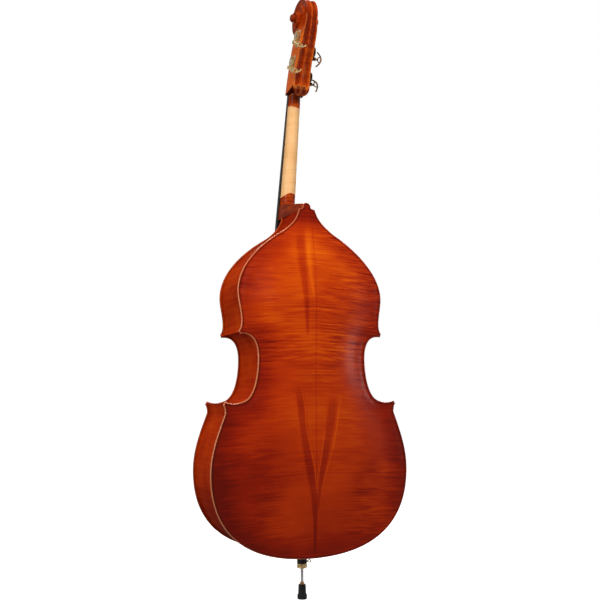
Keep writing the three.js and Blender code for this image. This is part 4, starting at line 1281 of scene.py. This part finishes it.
def key_bar(turn):
    """A bowed bar with rounded tips, swept back, and the two arms that carry it beside the spindle."""
    steps = 40
    out_of_key = Vector((0, 1, 0))
    rings = []
    for i in range(steps + 1):
        share = -1 + 2 * i / steps
        way = (bar_point(share + 0.01) - bar_point(share - 0.01)).normalized()
        from_tip = (abs(share) - 0.93) / 0.07
        knob = math.exp(-(from_tip**2))
        end = math.sqrt(max(0.03, 1 - max(0, from_tip) ** 2))
        wide = (2.1 + 0.9 * (1 - abs(share)) + 0.9 * knob) * end
        deep = (2.9 + 0.3 * knob) * end
        rings.append(oval(bar_point(share), way.cross(out_of_key).normalized(), out_of_key, wide, deep, 14))
    arms = []
    for side in (-1, 1):
        start, end = Vector((0, 43, 0)), bar_point(side * 0.42)
        bend = start.lerp(end, 0.5) + Vector((side * 1.5, 2.5, 2.0))
        arms.append(tube(smooth_line([start, bend, end], 5), 1.9, 10))
    return placed(merged(lofted(rings), *arms), Matrix.Rotation(-math.radians(turn), 4, "Y"))


def worm_key(machine):
    core = [(0, -19), (3, -19), (3, -12.5), (3.95, -12.5), (3.95, 12.5), (3, 12.5), (3, 17.8), (4.2, 18.6)]
    spindle = [(4.2, 20), (2.8, 21.5), (2.5, 33), (2.8, 38), (4.2, 40), (4.2, 42.5), (3.4, 45), (1.6, 46)]
    rod = placed(lathed(softened([*core, *spindle, (0, 46)], 0.6, 2), 28), Z_TO_Y)
    beside_gear = Matrix.Translation((gear_out, 0, -worm_drop))
    return placed(merged(rod, worm_thread(), key_bar(machine["turn"])), machine_matrix(machine) @ beside_gear)


def string_roller(machine):
    """The roller with its string wound on it."""
    half = cheek_half - cheek_taper * machine["place"] * roller_pitch
    far = -(half + slot_half + 5)
    winding = -half + 7
    wire = machine["radius"]
    turns = int(wound_width / (2 * wire))
    first = winding - turns * wire
    profile = [(0, far), (5.2, far), (5.9, far + 1), (5.9, winding - 8)]
    for i in range(turns):
        centre = first + (2 * i + 1) * wire
        for k in range(7):
            a = math.pi * k / 6
            profile.append((wound_radius - wire + wire * math.sin(a), centre - wire * math.cos(a)))
    profile += [(5.9, winding + 8), (5.9, 6.1), (2.9, 6.1), (2.9, 9), (0, 9)]
    return placed(lathed(profile, 32), machine_matrix(machine) @ Z_TO_X)


def carried(node, material, bevel=0.0):
    """A CAD node that is shown as it is, with a finish and softened edges."""
    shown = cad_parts[node]
    shown.data.materials.clear()
    shown.data.materials.append(material)
    if bevel:
        softening = shown.modifiers.new("softened edges", "BEVEL")
        softening.width = bevel * METRES
        softening.segments = 2
        softening.limit_method = "ANGLE"
        softening.angle_limit = math.radians(40)
        softening.harden_normals = True


for machine in MACHINES:
    string = machine["string"]
    # The bass side's machines take the brass in painted shade.
    finish = brass if machine["sign"] > 0 else brass_in_painted_shade
    carried(f"machine_plate_{string}", finish, 0.35)
    carried(f"gear_{string}", finish, 0.15)
    carried(f"gear_screw_{string}", steel, 0.25)
    key, roller = worm_key(machine), string_roller(machine)
    add_piece(f"butterfly_key_{string}", key, finish, f"worm_key_{string}", f"key_{string}")
    add_piece(f"string_roller_{string}", roller, steel, f"roller_{string}", f"roller_{string}")

# ---------------------------------------------------------------- fingerboard, nut, bridge, saddle


def board_ring(place, lift=0.0):
    """Half oval section of the fingerboard, with its glued face at the back."""
    half, crown, along = place["half"], place["crown"] + lift, place["along"]
    steps = 24
    top = []
    for i in range(steps + 1):
        a = math.pi * i / steps
        top.append((half * math.cos(a), -(place["edge"] + crown * math.sin(a)), along))
    inner, side = half - board_round, -gap - board_round
    return [(-inner, -gap, along), (inner, -gap, along), (half, side, along), *top, (-half, side, along)]


def rounded_end(by, along):
    """The fingerboard's lower end, narrowed by so much."""
    smaller = {"half": board_end["half"] - by, "crown": board_end["crown"] - by * 0.6}
    return {**board_end, **smaller, "along": along}


board_rings = [
    board_ring(rounded_end(1.4, board_end["along"])),
    board_ring(rounded_end(0.4, board_end["along"] + 0.6)),
]
board_rings += [board_ring(between(board_end, board_top, 0.002 + 0.998 * i / 12)) for i in range(13)]
add_piece("ebony_fingerboard", placed(lofted(board_rings), neck_matrix), ebony, "fingerboard")

nut_low = {**board_top, "along": board_top["along"] + gap}
nut_steps = [(0, 1.0), (0.5, 0.3), (1.6, 0), (nut_thick - 2.4, 0), (nut_thick - 0.8, 0.6), (nut_thick, 2.0)]
nut_rings = []
for step, drop in nut_steps:
    nut_rings.append(board_ring({**nut_low, "along": nut_low["along"] + step}, nut_proud - drop))
add_piece("ebony_nut", placed(lofted(nut_rings), neck_matrix), ebony, "nut")

# The bridge's treble half as (across, height above its feet): down the side, round the foot and up the arch
bridge_foot = -132.5
rise = bridge_foot - bridge_top
BRIDGE_EDGE = [
    (0, rise), (26, rise - 2.5), (44, rise - 8.5), (50, rise - 13), (52, rise - 22), (49, 112), (49, 102),
    (56, 86), (61, 72), (59, 62), (52, 57), (42, 60), (36, 64), (34, 56), (44, 49), (58, 38), (69, 24),
    (74, 10), (80, 4), (81, -3),
]
BRIDGE_FOOT = [(80, -9), (46, -4)]
BRIDGE_ARCH = [(45, 8), (40, 22), (28, 33), (14, 38), (0, 40)]
BRIDGE_HEART = [(0, 63), (9, 72), (13.5, 82), (11, 90), (5, 91), (0, 86)]
foot_under = -9

# Thickness above and below the bridge's middle plane, at its feet and at its top
bridge_up = (11, 3.6)
bridge_down = (9.8, 3.2)


def mirrored(half):
    """A closed line from its treble half."""
    half = np.array(half)
    return np.vstack([half, half[-2:0:-1] * (-1, 1)])


def bridge_piece():
    edge_line = smooth_line(BRIDGE_EDGE, 5) + smooth_line(BRIDGE_FOOT, 3) + smooth_line(BRIDGE_ARCH, 5)
    outline = mirrored(edge_line)[::-1]
    heart = mirrored(smooth_line(BRIDGE_HEART, 5))
    flat, faces = filled(outline, [heart], rings=(0.5, 1.4, 3), square=5)
    edge = np.minimum(edge_distance(flat, outline), edge_distance(flat, heart))
    share = np.clip((flat[:, 1] - foot_under) / (rise - foot_under), 0, 1)
    soft = 1.0 - np.sqrt(np.clip(1 - (1 - np.clip(edge / 1.2, 0, 1)) ** 2, 0, 1))
    up = bridge_at + np.interp(share, (0, 1), bridge_up) - soft
    down = bridge_at - np.interp(share, (0, 1), bridge_down) + soft
    on_belly = np.array([belly_inside(x, bridge_at) - plate_thick for x in flat[:, 0]]) + 1.0
    y = np.minimum(bridge_foot - flat[:, 1], on_belly)
    upper, lower = ([tuple(p) for p in np.stack([flat[:, 0], y, z], 1)] for z in (up, down))
    return slab(upper, lower, faces[:, ::-1])


add_piece("carved_bridge", bridge_piece(), bridge_maple, "bridge", sharp=60)
carried("saddle", ebony, 1.5)

# ---------------------------------------------------------------- tailpiece and tail wire

tail_way = tail_top - tail_foot
tail_length = tail_way.length
tail_matrix = Matrix.Translation(tail_foot) @ Matrix.Rotation(math.atan2(-tail_way.y, tail_way.z), 4, "X")
TAIL_HALF = [
    (0, 20), (8, 22), (60, 25), (150, 32), (240, 39.5), (tail_length - 45, 44), (tail_length - 20, 44),
    (tail_length - 6, 42.5), (tail_length, 40),
]


def tail_ring(along, drop):
    """Half oval section of the tailpiece. Its ends drop away."""
    half = looked_up(TAIL_HALF, along) - drop * 0.6
    top = []
    for i in range(25):
        a = math.pi * i / 24
        top.append((half * math.cos(a), 4 - (9 - drop) * math.sin(a) ** 0.9, along))
    under = [(-half + 2, 8.7, along), (half - 2, 8.7, along), (half - 0.4, 7.6, along)]
    return [*under, *top, (-half + 0.4, 7.6, along)]


stations = [(0, 2.2), (1, 0.8), (3, 0.1)]
stations += [(3 + (tail_length - 6) * i / 24, 0) for i in range(1, 25)]
stations += [(tail_length - 1, 0.6), (tail_length, 1.8)]
tail_shape = lofted([tail_ring(along, drop) for along, drop in stations])
add_piece("ebony_tailpiece", placed(tail_shape, tail_matrix), ebony, "tailpiece")

# The tail wire: from the tailpiece over the saddle, round the endpin plug and back
wire_radius = 2
loop_radius = 12.5 + gap + wire_radius
wire_at = 133
WIRE_SIDE = [
    (11, tail_foot.y + 3, tail_foot.z - 1), (13, -111.5, 152), (14, -109.8, 142), (14.4, -106.5, 135.6),
    (loop_radius, -98, wire_at), (loop_radius, -60, wire_at), (loop_radius, 0, wire_at),
]
wire_side = smooth_line(WIRE_SIDE, 4)
wire_loop = []
for i in range(1, 24):
    a = math.pi * i / 24
    wire_loop.append((loop_radius * math.cos(a), loop_radius * math.sin(a), wire_at))
wire_path = wire_side + wire_loop + [p * (-1, 1, 1) for p in wire_side[::-1]]
add_piece("tail_gut", tube(wire_path, wire_radius, 14), steel, "tail_wire")

# ---------------------------------------------------------------- strings

ACROSS_PLACES = {"e": -1.5, "a": -0.5, "d": 0.5, "g": 1.5}
SPACING = {"tail": 17, "bridge": 28, "nut": 10}
coil_x = 7
string_out = 8


def string_shape(machine):
    """From the tailpiece over bridge and nut to the roller, with a thicker wrapping at the tailpiece."""
    place, radius = ACROSS_PLACES[machine["string"]], machine["radius"]
    lift = radius + gap
    tail_end, over_tail = (
        tail_matrix @ Vector((place * SPACING["tail"], -3 - radius, tail_length + past)) for past in (-12, 1)
    )
    bridge_edge = bridge_top + 7.5 * (place / 1.5) ** 2
    at_bridge = Vector((place * SPACING["bridge"], bridge_edge - lift - 0.6, bridge_at))
    nut_x = place * SPACING["nut"]
    nut_crown = (board_top["crown"] + nut_proud) * math.sqrt(1 - (nut_x / board_top["half"]) ** 2)
    nut_out = board_top["edge"] + nut_crown + lift
    at_nut = neck_matrix @ Vector((nut_x, -nut_out, nut_low["along"] + nut_thick + 0.5))
    middle = pegbox_matrix @ Vector((0, 0, machine["place"] * roller_pitch))
    run = middle - at_nut
    across = Vector((0, -run.z, run.y)).normalized()
    at_roller = middle + across * (string_out + lift)
    at_roller.x = machine["sign"] * coil_x
    path = [over_tail]
    for a, b in ((over_tail, at_bridge), (at_bridge, at_nut), (at_nut, at_roller)):
        path += [a.lerp(b, t) for t in (0.003, 0.1, 0.5, 0.9, 0.997, 1)]
    return merged(tube(path, radius), tube([tail_end, over_tail], radius * 1.5))


for machine in sorted(MACHINES, key=lambda machine: ACROSS_PLACES[machine["string"]]):
    string = machine["string"]
    add_piece(f"wound_string_{string}", string_shape(machine), string_material, f"string_{string}")

# ---------------------------------------------------------------- inside of the body

INSIDE = [f"{face}_lining_{side}" for face in ("front", "back") for side in ("treble", "bass")]
INSIDE += [f"{level}_corner_block_{side}" for level in ("lower", "upper") for side in ("treble", "bass")]
INSIDE += ["neck_block", "end_block", "bass_bar", "sound_post"]
for node in INSIDE:
    carried(node, bare_spruce)

# ---------------------------------------------------------------- endpin

# Round parts about the instrument's foot, as (radius, height)
bore = 5.3
TIP = [
    (0, 0), (14.6, 0), (15.7, 1.4), (15.7, 4.2), (15.1, 4.9), (15.7, 5.6), (15.7, 8.6), (15.1, 9.3),
    (15.7, 10), (15.7, 13.2), (14.6, 14.8), (13.1, 16), (12.5, 30), (12.2, 43.6), (11, 45), (bore, 45),
]
FERRULE = [(bore, 45.2), (8.2, 45.2), (8.2, 47.4), (7.6, 48.2), (6.7, 51.2), (6.2, 52), (bore, 52)]
ROD = [
    (0, rod_low.z), (4.4, rod_low.z), (5, rod_low.z + 0.6), (5, rod_high.z - 2), (3.5, rod_high.z),
    (0, rod_high.z),
]
COLLAR = [
    (bore, 95), (14.6, 95), (16, 96.4), (16, 99), (15.4, 99.6), (16, 100.2), (16, 108), (15.3, 109.7),
    (bore, 109.7),
]
PLUG = [
    (bore, 110), (15.4, 110), (16, 110.6), (16, 128.4), (15, 129.6), (12.7, 130.6), (12.5, 133),
    (12.7, 135.4), (15, 136.4), (16, 137.6), (16, 145.6), (15.2, 146.5), (13, 146.5), (12.2, 190),
    (bore, 190),
]
for name, shape, material, slot, body in (
    ("tip", lathed(softened(TIP, 0.7)), rubber_material, "rubber", "endpin"),
    ("ferrule", lathed(softened(FERRULE, 0.4)), copper, "copper", "endpin"),
    ("rod", lathed(ROD, 32), steel, "steel", "endpin"),
    ("collar", lathed(softened(COLLAR, 0.5)), brass, "brass", "bass"),
    ("plug", lathed(softened(PLUG, 0.5)), ebony, "ebony", "bass"),
):
    add_piece(f"{slot}_{name}", shape, material, f"endpin_{name}", body, sharp=50)


def thumbscrew():
    """A short screw with an eye at its outer end, lying along X."""
    middle = Vector((0, 0, (screw_low.z + screw_high.z) / 2))
    shank = [(0, -21), (1.9, -21), (2.6, -20.2), (2.6, -17.4), (2.0, -17), (2.0, -6), (0, -5.4)]
    rod = placed(lathed(softened(shank, 0.3), 24), Matrix.Translation(middle) @ Z_TO_X)
    rings = []
    for a in around(48):
        way = Vector((math.cos(a), 0, math.sin(a)))
        eye_point = middle + Vector((-25.6 + 5.3 * math.cos(a), 0, 3.7 * math.sin(a)))
        rings.append(oval(eye_point, way, Vector((0, 1, 0)), 1.8, 1.9, 12))
    return merged(rod, lofted([*rings, rings[0]], caps=False))


add_piece("brass_thumbscrew", thumbscrew(), brass, "endpin_thumbscrew", "thumbscrew")

# ---------------------------------------------------------------- floor and light

# The endpin can be drawn out by 250 mm, and the floor lies below that
floor_drop = 252
floor_half = 60


def floor():
    """A wide pale floor. It casts no glow up the instrument."""
    s = Shader("pale_floor")
    color = s.ramp(s.noise((3, 3, 3), detail=3), [(0.3, (0.86, 0.86, 0.86)), (0.7, (0.90, 0.90, 0.90))])
    s.surface.inputs["Emission Color"].default_value = (1, 1, 1, 1)
    s.surface.inputs["Emission Strength"].default_value = 1.0
    mesh = bpy.data.meshes.new("floor")
    corners = [(x * floor_half, y * floor_half, 0) for x, y in ((-1, -1), (1, -1), (1, 1), (-1, 1))]
    mesh.from_pydata(corners, [], [(0, 1, 2, 3)])
    mesh.materials.append(s.finish(color, 0.9, level=0.0))
    plane = bpy.data.objects.new("floor", mesh)
    plane.location.z = (tip_low.z - floor_drop) * METRES
    plane.visible_glossy = False
    plane.visible_diffuse = False
    bpy.context.scene.collection.objects.link(plane)


def softbox(name, place, width, height, power, gleams=True):
    """A rectangular studio light. One that does not gleam is too soft to show in the varnish."""
    data = bpy.data.lights.new(name, "AREA")
    data.shape = "RECTANGLE"
    data.size, data.size_y = width, height
    data.energy = power
    light = bpy.data.objects.new(name, data)
    light.location = place
    light.visible_glossy = gleams
    middle_of_body = Vector((0, 0, 0.95))
    light.rotation_euler = (middle_of_body - Vector(place)).to_track_quat("-Z", "Y").to_euler()
    bpy.context.scene.collection.objects.link(light)


def white_room(ambient, in_gleams, seen):
    """The world: dim as a light, brighter in reflections, and white to the camera."""
    world = bpy.data.worlds.new("white room")
    bpy.context.scene.world = world
    world.use_nodes = True
    tree = world.node_tree
    background = tree.nodes["Background"]
    background.inputs["Color"].default_value = (1, 1, 1, 1)
    ray = tree.nodes.new("ShaderNodeLightPath").outputs
    glossy, camera_ray = (tree.nodes.new("ShaderNodeMapRange") for _ in range(2))
    glossy.inputs["To Min"].default_value = ambient
    glossy.inputs["To Max"].default_value = in_gleams
    camera_ray.inputs["To Max"].default_value = seen
    tree.links.new(ray["Is Glossy Ray"], glossy.inputs["Value"])
    tree.links.new(ray["Is Camera Ray"], camera_ray.inputs["Value"])
    tree.links.new(glossy.outputs["Result"], camera_ray.inputs["To Min"])
    tree.links.new(camera_ray.outputs["Result"], background.inputs["Strength"])


floor()
softbox("key", (0.5, 3.2, 2.5), 1.2, 1.6, 80, gleams=False)
softbox("side strip", (-2.9, 1.75, 1.2), 0.3, 2.2, 15)
softbox("rim", (2.8, 0.6, 1.4), 0.4, 2.6, 42)
softbox("front", (-1.4, -3.0, 2.2), 1.8, 2.0, 70)
softbox("top", (0.2, 1.2, 3.6), 1.4, 1.4, 30, gleams=False)
white_room(ambient=0.09, in_gleams=0.34, seen=1.0)
bpy.context.scene.view_settings.view_transform = "Standard"
